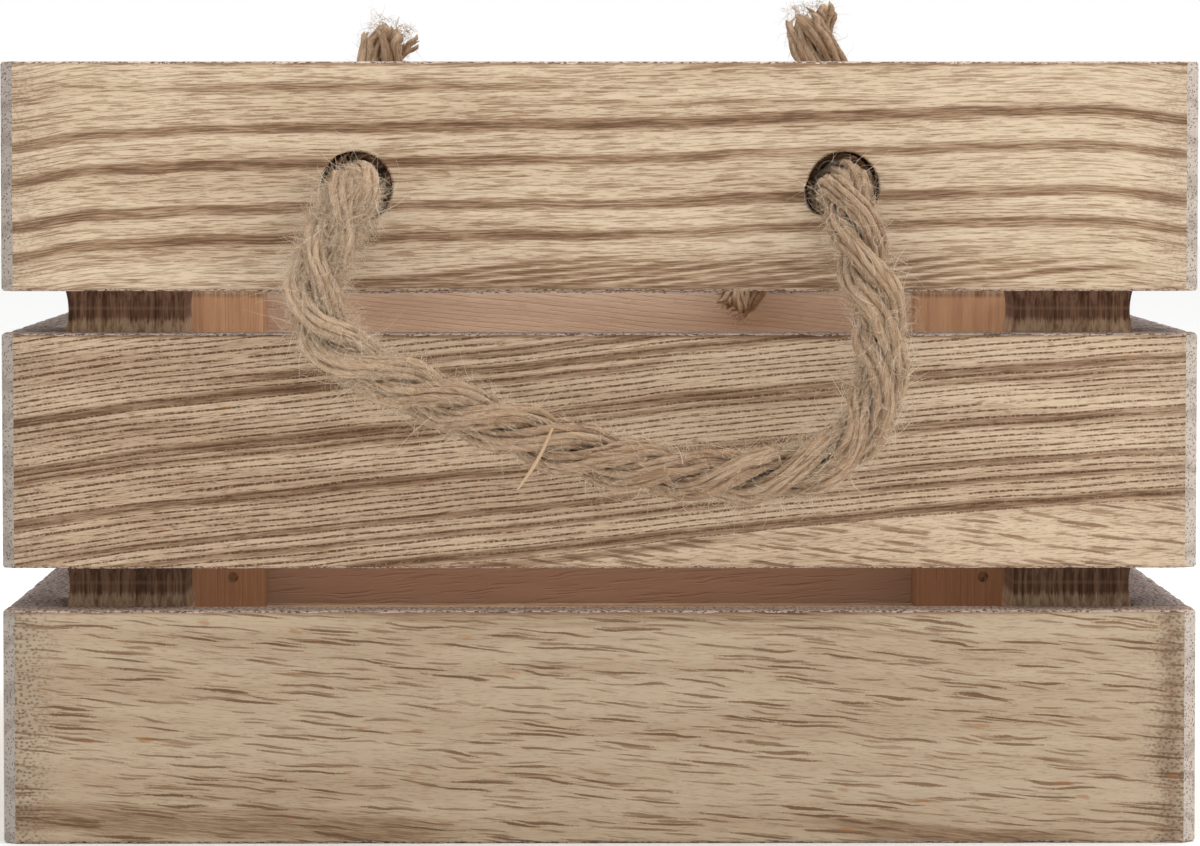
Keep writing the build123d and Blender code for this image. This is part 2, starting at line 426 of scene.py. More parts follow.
    def ramp(self, value: Value, *stops: tuple[float, Colour]) -> Socket:
        """Read a colour from a row of stops.

        Args:
            value: Where to read it.
            stops: The place and colour of each stop.

        Returns:
            The colour.
        """
        made = self.node("ShaderNodeValToRGB")
        made.color_ramp.interpolation = "B_SPLINE" if len(stops) > 3 else "EASE"
        while len(made.color_ramp.elements) < len(stops):
            made.color_ramp.elements.new(0.5)
        for element, (place, colour) in zip(made.color_ramp.elements, stops):
            element.position = place
            element.color = linear(colour)
        self.feed(made.inputs[0], value)
        return made.outputs[0]

    def cover(self, *shares: Value) -> Socket:
        """Lay several dark layers over each other, so that the sum never passes 1.

        Args:
            shares: How dark each layer is.

        Returns:
            How dark they are together.
        """
        clear = self.math("SUBTRACT", 1.0, shares[0])
        for share in shares[1:]:
            clear = self.times(clear, self.math("SUBTRACT", 1.0, share))
        return self.math("SUBTRACT", 1.0, clear, clamp=True)

    def bump(self, height: Value, depth_mm: float, strength: float = 1.0) -> Socket:
        """Turn a height into relief.

        Args:
            height: The height, from 0 to 1.
            depth_mm: The depth of the relief where the height is 1.
            strength: How strongly it shows, from 0 to 1.

        Returns:
            The bumped normal.
        """
        made = self.node("ShaderNodeBump")
        made.inputs["Strength"].default_value = strength
        made.inputs["Distance"].default_value = depth_mm * MM
        self.feed(made.inputs["Height"], height)
        return made.outputs["Normal"]

    def finish(
        self,
        colour: Socket,
        rough: Value,
        relief: Socket | None = None,
        sheen: float = 0.0,
        metal: float = 0.0,
        shine: float = 0.3,
    ) -> bpy.types.Material:
        """Close the tree with the surface shader.

        Args:
            colour: Colour of the surface.
            rough: Its roughness.
            relief: Its bumped normal, if it has one.
            sheen: Weight of the soft sheen of fibres.
            metal: 1 for bare metal.
            shine: Strength of the gloss of an unvarnished surface.

        Returns:
            The finished material.
        """
        surface = self.node("ShaderNodeBsdfPrincipled")
        self.feed(surface.inputs["Base Color"], colour)
        self.feed(surface.inputs["Roughness"], rough)
        surface.inputs["Metallic"].default_value = metal
        surface.inputs["Specular IOR Level"].default_value = shine
        surface.inputs["Sheen Weight"].default_value = sheen
        surface.inputs["Sheen Roughness"].default_value = 0.6
        if relief is not None:
            self.feed(surface.inputs["Normal"], relief)
        out = self.node("ShaderNodeOutputMaterial")
        self.tree.links.new(surface.outputs[0], out.inputs["Surface"])
        return self.material


@dataclass(frozen=True)
class Streak:
    """One dark line of late wood, placed by its height over the board's base at mid-length."""

    height: float
    half: float
    depth: float
    rise: float | None = None
    start: float = START_OF_ALL
    stop: float = -START_OF_ALL


@dataclass(frozen=True)
class Figure:
    """The figure of one board's face: how its rings, pores and dashes run."""

    streaks: tuple[Streak, ...]
    rise: float = 0.0
    bend: float = 0.0
    sway: float = 0.35
    wander: float = 0.7
    end_fall: float = 1.5
    rows: float = 0.5
    row_gap: float = 1.15
    rows_from: float = -99.0
    hairs: float = 0.5
    ticks: float = 0.35
    dashes: float = 0.5
    dash_length: float = 9.0
    dash_gap: float = 1.3
    dash_half: float = 0.3
    dash_rise: float = 0.0
    dash_wave: float = 0.8
    dash_until: float = 99.0
    flecks: float = 0.0
    end_pores: float = 0.3
    burnt_end: float = 0.0
    # Painted shade: how much darker the end at -along is painted, as the side away from the key light.
    lean: float = 0.0
    light: Colour = (222, 200, 172)
    pale: Colour = (205, 181, 153)
    tan: Colour = (172, 143, 115)
    brown: Colour = (134, 105, 81)
    dark: Colour = (96, 70, 52)
    seed: float = 0.0

    def waves(self) -> tuple[tuple[float, float, float], ...]:
        """Lay out the slow waves in the grain.

        Returns:
            The height of each wave, its radians a millimetre and its shift.
        """
        return (
            (self.sway, 2 * math.pi / 118, 1.3 + self.seed),
            (self.sway * 0.45, 2 * math.pi / 47, 0.4 + 2.1 * self.seed),
            (self.sway * 0.22, 2 * math.pi / 19, 2.2 + 3.7 * self.seed),
        )

    def level(self, along: np.ndarray, height: np.ndarray, half: float) -> np.ndarray:
        """Give the height of each place once the slow waves, the bend and the fall at the ends are out.

        Args:
            along: Distance along the board from its middle.
            height: Height over the board's base.
            half: Half of the board's length.

        Returns:
            The straightened heights.
        """
        made = height - self.bend * along**2
        for tall, turns, shift in self.waves():
            made = made + tall * np.sin(along * turns + shift)
        return made + self.end_fall * ease(np.abs(along), half - 22, half) ** 2

    def ridges(self, along: np.ndarray, height: np.ndarray, half: float) -> np.ndarray:
        """Give how far the hard late wood stands up.

        Args:
            along: Distance along the board from its middle.
            height: Height over the board's base.
            half: Half of the board's length.

        Returns:
            How far it stands up at each place, from 0 to 1.
        """
        straight = self.level(along, height, half)
        made = np.zeros_like(straight)
        for streak in self.streaks:
            rise = self.rise if streak.rise is None else streak.rise
            line = np.abs(straight - rise * along - streak.height)
            stands = streak.depth * ease(line, streak.half + 0.45, streak.half * 0.3)
            stands = stands * ease(along, streak.start - 9, streak.start + 9)
            made = np.maximum(made, stands * ease(along, streak.stop + 9, streak.stop - 9))
        return made


class Board:
    """One board on its finish's bench: its places, the way that its faces look, and its shared noises."""

    def __init__(self, timber: Timber) -> None:
        """Measure the board and lay out what its layers share.

        Args:
            timber: The finish that the board is for.
        """
        self.timber, self.figure = timber, timber.figure
        self.bench = bench = Bench(timber.name)
        self.grain, self.wide, self.thick = timber.lie.value
        self.half, self.tall = timber.half[self.grain], 2 * timber.half[self.wide]
        self.seed = self.figure.seed * 17.0
        base = list(timber.middle)
        base[self.wide] -= timber.half[self.wide] * MM
        places = bench.split(bench.place(base))
        self.along, self.height, self.deep = (places[axis] for axis in timber.lie.value)

        self.drift = self.strewn(self.height, (1 / 34, 1 / 6, 1 / 8), 0, 2.5)
        self.loose = bench.sway(self.straightened(), self.drift, self.figure.wander)
        self.rowed = bench.math("MULTIPLY_ADD", self.along, -self.figure.rise, self.loose)
        self.hair = self.strewn(self.rowed, (1 / 9.0, 3.7, 0.8), 2, 2.0, 0.6)
        self.tick = self.strewn(self.rowed, (1 / 2.4, 6.2, 1.5), 4, 2.0, 0.6)
        self.grit = self.strewn(self.height, (2.2, 3.8, 3.0), 0, 2.0, 0.7)
        self.patchy = self.strewn(self.loose, (1 / 16, 0.9, 0.3), 3)
        self.broken = self.strewn(self.rowed, (1 / 7.5, 1.1, 0.5), 11, 2.0, 0.6)
        self.dots = self.strewn(self.height, (2.4, 2.4, 2.4), 13, 1.0)
        self.tone = self.strewn(self.loose, (1 / 70, 1 / 5, 0.1), 31)

        normal = bench.normal()
        self.outward = bench.times(normal[self.thick], float(timber.facing))
        self.on_edge = bench.span(bench.math("ABSOLUTE", normal[self.wide]), 0.5, 0.8)
        self.on_end = bench.span(bench.math("ABSOLUTE", normal[self.grain]), 0.45, 0.62)
        pock = self.strewn(self.height, (1.35, 1.7, 1.5), 43, 2.0, 0.65)
        self.pitted = bench.span(pock, 0.5, 0.58, 0.0, 0.85)
        self.end_pits = bench.span(bench.cells(self.stretched(self.height, (1.9, 1.9, 1.9))), 0.33, 0.2)
        reach_out = bench.sway(bench.math("ABSOLUTE", self.along), self.patchy, 7.0)
        self.out_run = bench.span(reach_out, self.half - 12, self.half - 2)

    def stretched(self, height: Value, scales: Scales, shift: float = 0.0) -> Socket:
        """Lay out a place along, up and into the board, each way at its own scale."""
        return self.bench.stretched((self.along, height, self.deep), scales, self.seed + shift)

    def strewn(
        self, height: Value, scales: Scales, shift: float, detail: float = 2.0, rough: float = 0.5
    ) -> Socket:
        """Smooth noise stretched over the board."""
        return self.bench.noise(self.stretched(height, scales, shift), detail, rough)

    def straightened(self) -> Socket:
        """Take the slow waves, the bend along the board and the fall at its ends out of the height.

        Returns:
            The straightened height.
        """
        bench, figure = self.bench, self.figure
        level = bench.math("MULTIPLY_ADD", bench.times(self.along, self.along), -figure.bend, self.height)
        for wave, turns, shift in figure.waves():
            swing = bench.math("SINE", bench.math("MULTIPLY_ADD", self.along, turns, shift))
            level = bench.math("MULTIPLY_ADD", swing, wave, level)
        near_end = bench.span(bench.math("ABSOLUTE", self.along), self.half - 22, self.half)
        return bench.math("MULTIPLY_ADD", bench.times(near_end, near_end), figure.end_fall, level)

    def late_wood(self) -> Socket:
        """Lay the dark streaks of late wood, speckled with fine pores.

        Returns:
            How dark each place is.
        """
        bench, bands = self.bench, None
        for streak in self.figure.streaks:
            rise = self.figure.rise if streak.rise is None else streak.rise
            line = bench.math("MULTIPLY_ADD", self.along, -rise, self.loose)
            line = bench.math("ABSOLUTE", bench.math("SUBTRACT", line, streak.height))
            band = bench.span(line, streak.half + 0.5, streak.half * 0.5, 0.0, streak.depth)
            if streak.start > START_OF_ALL:
                band = bench.times(band, bench.span(self.along, streak.start - 9, streak.start + 9))
            if streak.stop < -START_OF_ALL:
                band = bench.times(band, bench.span(self.along, streak.stop + 9, streak.stop - 9))
            bands = band if bands is None else bench.math("MAXIMUM", bands, band)
        return bench.times(
            bands,
            bench.span(self.hair, 0.3, 0.62, 0.6, 1.1),
            bench.span(self.tick, 0.3, 0.6, 0.78, 1.12),
            bench.span(self.patchy, 0.25, 0.6, 0.75, 1.08),
        )

    def fine_lines(self) -> Socket:
        """Lay the fine broken lines and ticks that follow the grain.

        Returns:
            How dark each place is.
        """
        bench, figure = self.bench, self.figure
        hairs = bench.span(self.hair, 0.53, 0.63, 0.0, figure.hairs)
        return bench.cover(hairs, bench.span(self.tick, 0.55, 0.67, 0.0, figure.ticks))

    def pore_rows(self) -> Socket:
        """Lay the dotted rows of fine pores between the streaks.

        Returns:
            How dark each place is.
        """
        bench, figure = self.bench, self.figure
        stray = self.strewn(self.rowed, (1 / 52, 0.28, 0.2), 7, 1.0)
        turn = bench.math("MULTIPLY_ADD", self.rowed, 2 * math.pi / figure.row_gap, bench.times(stray, 9.0))
        return bench.times(
            bench.span(bench.math("SINE", turn), 0.38, 0.92),
            bench.span(self.broken, 0.32, 0.5),
            bench.span(self.dots, 0.36, 0.6, 0.3, 1.0),
            bench.span(self.rowed, figure.rows_from - 0.8, figure.rows_from + 0.8),
            figure.rows,
        )

    def dashes(self) -> Socket:
        """Lay the spindle-shaped dashes, each a vessel cut at a slant.

        Returns:
            How dark each place is.
        """
        bench, figure = self.bench, self.figure
        dash = None
        for layer, (far, near) in enumerate(((1.0, 1.0), (0.62, 0.8))):
            scales = (1 / (figure.dash_length * far), 1 / (figure.dash_gap * near), 0.12)
            spindle = bench.cells(self.stretched(self.slanted(), scales, 19 * layer), 0.95, True)
            spindle = bench.sway(bench.sway(spindle, self.broken, -0.3), self.dots, 0.12)
            drawn = bench.span(spindle, figure.dash_half, figure.dash_half * 0.5, 0.0, 1.0 - 0.35 * layer)
            dash = drawn if dash is None else bench.math("MAXIMUM", dash, drawn)
        below = bench.span(self.rowed, figure.dash_until + 0.8, figure.dash_until - 0.8)
        return bench.times(dash, bench.span(self.patchy, 0.3, 0.55, 0.5, 1.0), below, figure.dashes)

    def slanted(self) -> Socket:
        """Tilt and curl the height in the way that the dashes lie.

        Returns:
            The tilted height.
        """
        curl = self.strewn(self.height, (1 / 15, 1 / 4.5, 0.2), 17)
        tilted = self.bench.math("MULTIPLY_ADD", self.along, -self.figure.dash_rise, self.height)
        return self.bench.sway(tilted, curl, self.figure.dash_wave * 2)

    def run_out_pores(self) -> Socket:
        """Open the pores where the grain runs out at the ends.

        Returns:
            How dark each place is.
        """
        bench = self.bench
        pits = bench.cells(self.stretched(self.height, (1.1, 1.4, 1.4)), 1.0, True)
        spots = bench.times(bench.span(pits, 0.42, 0.16), bench.span(self.grit, 0.35, 0.5))
        return bench.times(spots, self.out_run, self.figure.end_pores)

    def burns(self) -> list[Socket]:
        """Darken the run-out, the arrises and, where the figure says so, one scorched end.

        Returns:
            How dark each of these makes each place.
        """
        bench, figure = self.bench, self.figure
        wavy = bench.math("MULTIPLY_ADD", self.drift, 1.2, self.height)
        rough = bench.math("MULTIPLY_ADD", self.grit, 0.9, self.height)
        burnt = [
            bench.times(self.out_run, figure.end_pores * 0.12),
            bench.span(wavy, self.tall - 0.45, self.tall + 0.3, 0.0, 0.5),
            bench.span(rough, 1.15, 0.35, 0.0, 0.55),
        ]
        if figure.burnt_end:
            ragged = bench.sway(bench.sway(self.along, self.patchy, 4.5), self.grit, 4.0)
            char = bench.math("ABSOLUTE", bench.math("SUBTRACT", ragged, self.half - 4.6))
            burnt.append(bench.span(char, 3.0, 0.2, 0.0, figure.burnt_end))
        return burnt

    def brushed(self, darkness: Socket) -> Socket:
        """Colour the outer face from how dark each place is, with painted shade towards the end at -along
        where the figure leans.

        Args:
            darkness: How dark each place is, from 0 to 1.

        Returns:
            The colour.
        """
        bench, figure, timber = self.bench, self.figure, self.timber
        tone_and_shade = bench.span(self.tone, 0.3, 0.7, 0.0, 0.2)
        # Painted shade: the face darkens towards the end at -along, away from the key light.
        if figure.lean:
            tone_and_shade = bench.math("ADD", tone_and_shade, bench.span(self.along, self.half, -self.half, 0.0, figure.lean))
        stops = zip(TONE_STOPS, (figure.light, figure.pale, figure.tan, figure.brown, figure.dark))
        colour = bench.ramp(bench.math("MULTIPLY_ADD", darkness, 0.88, tone_and_shade), *stops)
        greyed = bench.mix(darkness, timber.run_out_tone, timber.run_out_pits)
        colour = bench.mix(bench.times(self.out_run, figure.end_pores * 0.75), colour, greyed)
        if figure.flecks:
            spots = bench.cells(self.stretched(self.slanted(), (1 / 17, 1 / 5.5, 0.1), 37), 1.0, True)
            fleck = bench.times(bench.span(spots, 0.1, 0.05), bench.span(self.broken, 0.5, 0.62))
            colour = bench.mix(bench.times(fleck, figure.flecks), colour, timber.fleck_tone)
        return colour

    def inner_face(self, colour: Socket, fine: Socket) -> Socket:
        """Lay on the warmer tone of the inner face, which was never brushed.

        Args:
            colour: The colour so far.
            fine: The fine lines of the grain.

        Returns:
            The colour with the inner face in it.
        """
        bench, timber = self.bench, self.timber
        soft = bench.mix(bench.span(self.tone, 0.3, 0.7, 0.0, 0.35), timber.inside_tone, timber.inside_deep)
        soft = bench.mix(bench.times(fine, 0.18), soft, timber.inside_deep)
        return bench.mix(bench.span(self.outward, -0.4, -0.8, 0.0, timber.inside_share), colour, soft)

    def sawn_edges(self, colour: Socket) -> Socket:
        """Lay on the long edges, sawn, pitted and greyer.

        Args:
            colour: The colour so far.

        Returns:
            The colour with the edges in it.
        """
        bench, timber = self.bench, self.timber
        streaky = self.strewn(self.height, (0.14, 1.0, 1.3), 41, 3.0)
        dark = bench.cover(self.pitted, bench.span(streaky, 0.45, 0.75, 0.0, 0.5))
        return bench.mix(self.on_edge, colour, bench.mix(dark, timber.edge_tone, timber.edge_pits))

    def end_grain(self, colour: Socket) -> Socket:
        """Lay on the end grain: grey, with open pores and faint rings, and painted lighter towards the end at
        +along as a painted highlight from the key light.

        Args:
            colour: The colour so far.

        Returns:
            The colour with the end grain in it.
        """
        bench, timber = self.bench, self.timber
        swirl = self.strewn(self.height, (0.05, 0.11, 0.11), 47)
        turn = bench.math("MULTIPLY_ADD", swirl, 14.0, bench.times(self.height, 0.8))
        rings = bench.math("SINE", bench.math("MULTIPLY_ADD", self.deep, 0.35, turn))
        cut = bench.cover(
            bench.times(self.end_pits, 0.8),
            bench.span(rings, 0.1, 0.95, 0.0, 0.26),
            bench.span(self.grit, 0.5, 0.75, 0.0, 0.3),
        )
        # Painted highlight: the end grain is painted lighter towards the end at +along, the side that the key
        # light falls on.
        toward_lit_end = bench.span(self.along, -self.half, self.half)
        sawn = bench.mix(toward_lit_end, timber.end_tone, timber.lit_end_tone)
        return bench.mix(self.on_end, colour, bench.mix(cut, sawn, timber.end_pits))

    def bored(self, colour: Socket) -> Socket:
        """Darken the drilled holes right through, and a thin rim round each: scorched wood, painted darker
        still as shade inside the hole.

        Args:
            colour: The colour so far.

        Returns:
            The colour with the scorched holes in it.
        """
        bench, timber = self.bench, self.timber
        for hole_along, hole_height in timber.holes:
            across = bench.math("SUBTRACT", self.along, hole_along)
            up = bench.math("SUBTRACT", self.height, hole_height)
            reach = bench.math("SQRT", bench.math("MULTIPLY_ADD", across, across, bench.times(up, up)))
            reach = bench.sway(reach, self.grit, 0.8)
            rim = bench.span(reach, timber.bore + 0.75, timber.bore + 0.05)
            in_bore = bench.span(bench.math("ABSOLUTE", self.outward), 0.8, 0.45)
            wall = bench.times(bench.span(reach, timber.bore + 2.6, timber.bore + 2.0), in_bore)
            # Scorch with painted shade: the bore wall and its rim take dark browns that also stand in for the
            # shade inside the hole.
            burnt = bench.mix(bench.span(self.grit, 0.35, 0.65), timber.scorch_and_hole_shade, timber.soot)
            colour = bench.mix(bench.math("MAXIMUM", rim, wall), colour, burnt)
        return colour

    def relief(self, raised: Socket, sunk: Socket) -> Socket:
        """Turn the layers into relief.

        Args:
            raised: The late wood, which stands up.
            sunk: The pores and lines, which lie low.

        Returns:
            The bumped normal.
        """
        bench = self.bench
        lift = bench.math("MULTIPLY_ADD", raised, 0.35, bench.times(self.tick, 0.5))
        lift = bench.math("SUBTRACT", lift, bench.times(sunk, 0.8))
        lift = bench.math("SUBTRACT", lift, bench.times(self.on_edge, self.pitted))
        lift = bench.math("SUBTRACT", lift, bench.times(self.on_end, self.end_pits))
        return bench.bump(lift, 0.25, 0.8)


@dataclass(frozen=True)
class Timber:
    """The finish of one piece of scorched and brushed timber."""

    name: str
    lie: Lie
    middle: Point
    half: Point
    figure: Figure
    facing: int = 1
    holes: tuple[tuple[float, float], ...] = ()
    bore: float = 6.0
    end_tone: Colour = (172, 161, 151)
    # Painted highlight: the lighter end-grain tone painted on the end at +along.
    lit_end_tone: Colour = (193, 180, 168)
    end_pits: Colour = (92, 76, 66)
    edge_tone: Colour = (196, 170, 154)
    edge_pits: Colour = (92, 70, 62)
    inside_tone: Colour = (206, 170, 140)
    inside_deep: Colour = (168, 130, 100)
    inside_share: float = 0.9
    run_out_tone: Colour = (172, 158, 140)
    run_out_pits: Colour = (88, 66, 50)
    fleck_tone: Colour = (160, 104, 58)
    # Dark browns of the holes: scorch, with painted shade inside them.
    scorch_and_hole_shade: Colour = (66, 39, 22)
    soot: Colour = (26, 14, 8)

    def make(self) -> bpy.types.Material:
        """Build the finish.

        Returns:
            The finished material.
        """
        board = Board(self)
        bench = board.bench
        late, fine = board.late_wood(), board.fine_lines()
        cut = [fine, board.pore_rows(), board.dashes(), board.run_out_pores()]
        darkness = bench.cover(late, *cut, *board.burns())
        colour = board.inner_face(board.brushed(darkness), fine)
        colour = board.bored(board.end_grain(board.sawn_edges(colour)))
        rough = bench.span(darkness, 0.0, 1.0, 0.62, 0.82)
        return bench.finish(colour, rough, board.relief(late, bench.cover(*cut)), shine=0.03)


@dataclass(frozen=True)
class PostTimber:
    """The finish of the square corner posts, scorched dark where the gaps leave them bare; in each gap the
    upper part is scorched and painted darker still as shade, and the foot is painted lighter as if it faced
    up into the light.
    """

    name: str
    gaps: tuple[tuple[float, float, float], ...]
    inside_tones: tuple[Colour, ...] = ((215, 176, 142), (195, 155, 122), (163, 127, 98), (108, 80, 60))
    low_tone: Colour = (146, 109, 82)
    # Scorch with painted shade: the bare post high in each gap.
    scorched_and_shaded_tones: tuple[Colour, ...] = ((150, 116, 92), (121, 90, 69), (86, 59, 43), (50, 31, 20))
    # Painted light: the lighter foot of each gap.
    lit_foot_tones: tuple[Colour, ...] = ((196, 168, 138), (172, 142, 112), (132, 102, 78), (74, 50, 35))
    seam_tone: Colour = (176, 140, 112)
    soot: Colour = (40, 25, 16)
    end_tone: Colour = (186, 158, 130)
    end_pits: Colour = (104, 76, 56)

    def make(self) -> bpy.types.Material:
        """Build the finish.

        Returns:
            The finished material.
        """
        bench = Bench(self.name)
        x, y, z = bench.split(bench.place())
        streaks = bench.noise(bench.stretched((x, y, z), (1.0, 1.0, 0.03)), 3.0, 0.62)
        fine = bench.noise(bench.stretched((x, y, z), (2.6, 2.6, 0.16), 5), 2.0, 0.6)
        grit = bench.noise(bench.stretched((x, y, z), (3.0, 3.0, 1.6), 9), 3.0, 0.7)
        slow = bench.noise(bench.stretched((x, y, z), (0.16, 0.16, 0.02), 3))
        char = bench.cover(
            bench.span(streaks, 0.38, 0.66, 0.0, 0.6),
            bench.span(fine, 0.45, 0.7, 0.0, 0.45),
            bench.span(grit, 0.55, 0.75, 0.0, 0.35),
        )
        shade = bench.math("MULTIPLY_ADD", bench.span(slow, 0.3, 0.7), 0.25, bench.times(char, 0.35))
        colour = bench.ramp(shade, *zip((0.0, 0.3, 0.6, 1.0), self.inside_tones))
        colour = bench.mix(bench.span(z, 70.0, 25.0, 0.0, 0.75), colour, self.low_tone)
        # Scorch with painted shade high in each gap, as if a hollow there faced down.
        scorched = bench.ramp(char, *zip((0.0, 0.3, 0.65, 1.0), self.scorched_and_shaded_tones))
        lit_foot = bench.ramp(char, *zip((0.0, 0.35, 0.7, 1.0), self.lit_foot_tones))
        ragged = bench.sway(z, fine, 2.2)
        for low, high, burnt in self.gaps:
            tall = high - low
            within = bench.times(bench.span(z, low - 1.2, low - 0.2), bench.span(z, high + 1.2, high + 0.2))
            seam = bench.math("ABSOLUTE", bench.math("SUBTRACT", z, low + 0.56 * tall))
            bare = bench.mix(bench.span(seam, 0.5, 0.1, 0.0, 0.22), scorched, self.seam_tone)
            # Painted light: the foot of each gap is painted lighter, as if it faced up into the light.
            bare = bench.mix(bench.span(ragged, low + 0.36 * tall, low + 0.2 * tall), bare, lit_foot)
            colour = bench.mix(within, colour, bench.mix(burnt, bare, self.soot))
        end_face = bench.span(bench.math("ABSOLUTE", bench.normal()[2]), 0.6, 0.85)
        pores = bench.span(bench.cells(bench.stretched((x, y, z), (1.7, 1.7, 1.7))), 0.34, 0.2)
        rings = bench.math("SINE", bench.math("MULTIPLY_ADD", x, 0.9, bench.times(y, 1.3)))
        cut = bench.cover(bench.times(pores, 0.75), bench.span(rings, 0.1, 0.95, 0.0, 0.5))
        colour = bench.mix(end_face, colour, bench.mix(cut, self.end_tone, self.end_pits))
        lift = bench.math("SUBTRACT", bench.times(fine, 0.5), bench.times(char, 0.6))
        lift = bench.math("SUBTRACT", lift, bench.times(pores, end_face))
        return bench.finish(colour, 0.78, bench.bump(lift, 0.3, 0.9), shine=0.14)


@dataclass(frozen=True)
class BradSteel:
    """The finish of the bright steel brads, a little dulled."""

    name: str = "brad_steel"
    clean: Colour = (148, 128, 110)
    dulled: Colour = (112, 84, 64)

    def make(self) -> bpy.types.Material:
        """Build the finish.

        Returns:
            The finished material.
        """
        bench = Bench(self.name)
        place = bench.place()
        dull = bench.noise(place, 3.0, 0.6, 1.7)
        rust = bench.noise(place, 2.0, 0.5, 0.8)
        colour = bench.mix(bench.span(rust, 0.4, 0.65), self.clean, self.dulled)
        rough = bench.span(dull, 0.3, 0.7, 0.28, 0.55)
        return bench.finish(colour, rough, bench.bump(dull, 0.03, 0.6), metal=1.0, shine=0.5)


@dataclass(frozen=True)
class JuteYarn:
    """The finish of the rope's yarns: fibres that run along each yarn, light on the crown, dark between."""

    name: str = "jute_yarn"
    pale: Colour = (226, 199, 170)
    body: Colour = (189, 159, 129)
    shaded: Colour = (141, 108, 79)
    deep: Colour = (86, 60, 40)
    ginger: Colour = (196, 146, 100)

    def make(self) -> bpy.types.Material:
        """Build the finish.

        Returns:
            The finished material.
        """
        bench = Bench(self.name)
        tone = bench.node("ShaderNodeAttribute", attribute_name="tone").outputs["Fac"]
        along, turn_a, turn_b = bench.split(
            bench.node("ShaderNodeAttribute", attribute_name="lay").outputs["Vector"]
        )
        shift = bench.times(tone, 31.0)

        def fibrous(long: float, round_it: float, detail: float, rough: float = 0.5) -> Socket:
            """Strew noise that is drawn out along the yarn.

            Args:
                long: Its scale along the yarn.
                round_it: Its scale round the yarn.
                detail: How many finer layers it has.
                rough: How strong each finer layer is.

            Returns:
                The noise, from 0 to 1.
            """
            run = bench.math("MULTIPLY_ADD", along, long, shift)
            turned_to = (bench.times(turn_a, round_it), bench.times(turn_b, round_it))
            return bench.noise(bench.vector(run, *turned_to), detail, rough)

        fibre = fibrous(0.16, 4.2, 4.0, 0.7)
        clump = fibrous(0.3, 0.9, 2.0)
        dark = bench.cover(bench.span(fibre, 0.44, 0.72, 0.0, 0.62), bench.span(clump, 0.5, 0.75, 0.0, 0.45))
        shade = bench.math("MULTIPLY_ADD", tone, 0.36, bench.times(dark, 0.75))
        colour = bench.ramp(shade, (0.0, self.pale), (0.3, self.body), (0.65, self.shaded), (1.0, self.deep))
        ginger = bench.span(fibrous(0.07, 1.0, 1.0), 0.6, 0.78, 0.0, 0.4)
        colour = bench.mix(ginger, colour, self.ginger)
        return bench.finish(colour, 0.85, bench.bump(fibre, 0.35, 1.0), sheen=0.08, shine=0.06)


@dataclass(frozen=True)
class JuteFluff:
    """The finish of the loose fibres that stand off the rope."""

    name: str = "jute_fluff"

    def make(self) -> bpy.types.Material:
        """Build the finish.

        Returns:
            The finished material.
        """
        bench = Bench(self.name)
        tone = bench.node("ShaderNodeAttribute", attribute_name="tone").outputs["Fac"]
        colour = bench.ramp(
            tone,
            (0.0, (240, 226, 206)),
            (0.4, (216, 192, 160)),
            (0.75, (186, 154, 120)),
            (1.0, (146, 112, 84)),
        )
        return bench.finish(colour, 0.8, sheen=0.08, shine=0.1)


@dataclass(frozen=True)
class StudioPaper:
    """The finish of the plain pale floor."""

    name: str = "studio_floor"

    def make(self) -> bpy.types.Material:
        """Build the finish.

        Returns:
            The finished material.
        """
        bench = Bench(self.name)
        place = bench.node("ShaderNodeTexCoord").outputs["Object"]
        tooth = bench.noise(place, 3.0, 0.6, 900.0)
        colour = bench.mix(tooth, (244, 244, 243), (248, 248, 247))
        return bench.finish(colour, 0.9, bench.bump(tooth, 0.05, 0.3), shine=0.1)


# Figures of the slats, one for each board of a wall

WEDGE_RISE = 0.12
WEDGE = tuple(
    Streak(-WEDGE_RISE * start, 0.3, 0.55, WEDGE_RISE, start - 4, start + 46)
    for start in (-52, -41, -30, -19, -8, 3, 14, 26, 38, 52)
)

TOP_FIGURE = Figure(
    streaks=(
        Streak(29.5, 0.9, 0.6),
        Streak(23.4, 0.9, 0.6),
        Streak(15.6, 0.95, 0.64),
        Streak(10.2, 0.85, 0.58),
        Streak(2.7, 1.1, 0.6, 0.03, -49, -26),
        Streak(0.9, 0.4, 0.6, 0.0, -60, 66),
        Streak(36.0, 0.7, 0.34, 0.01, -70, -8),
        Streak(33.4, 0.4, 0.25, -0.01, -30, 50),
        *WEDGE,
    ),
    rise=0.024,
    wander=0.7,
    end_fall=1.9,
    sway=0.25,
    rows=0.0,
    hairs=0.36,
    ticks=0.32,
    dashes=0.34,
    dash_length=14.0,
    dash_gap=1.05,
    dash_half=0.2,
    dash_rise=0.02,
    dash_wave=0.4,
    flecks=0.1,
    end_pores=0.2,
    lean=0.05,
    light=(222, 201, 174),
    pale=(206, 183, 156),
    seed=0.2,
)

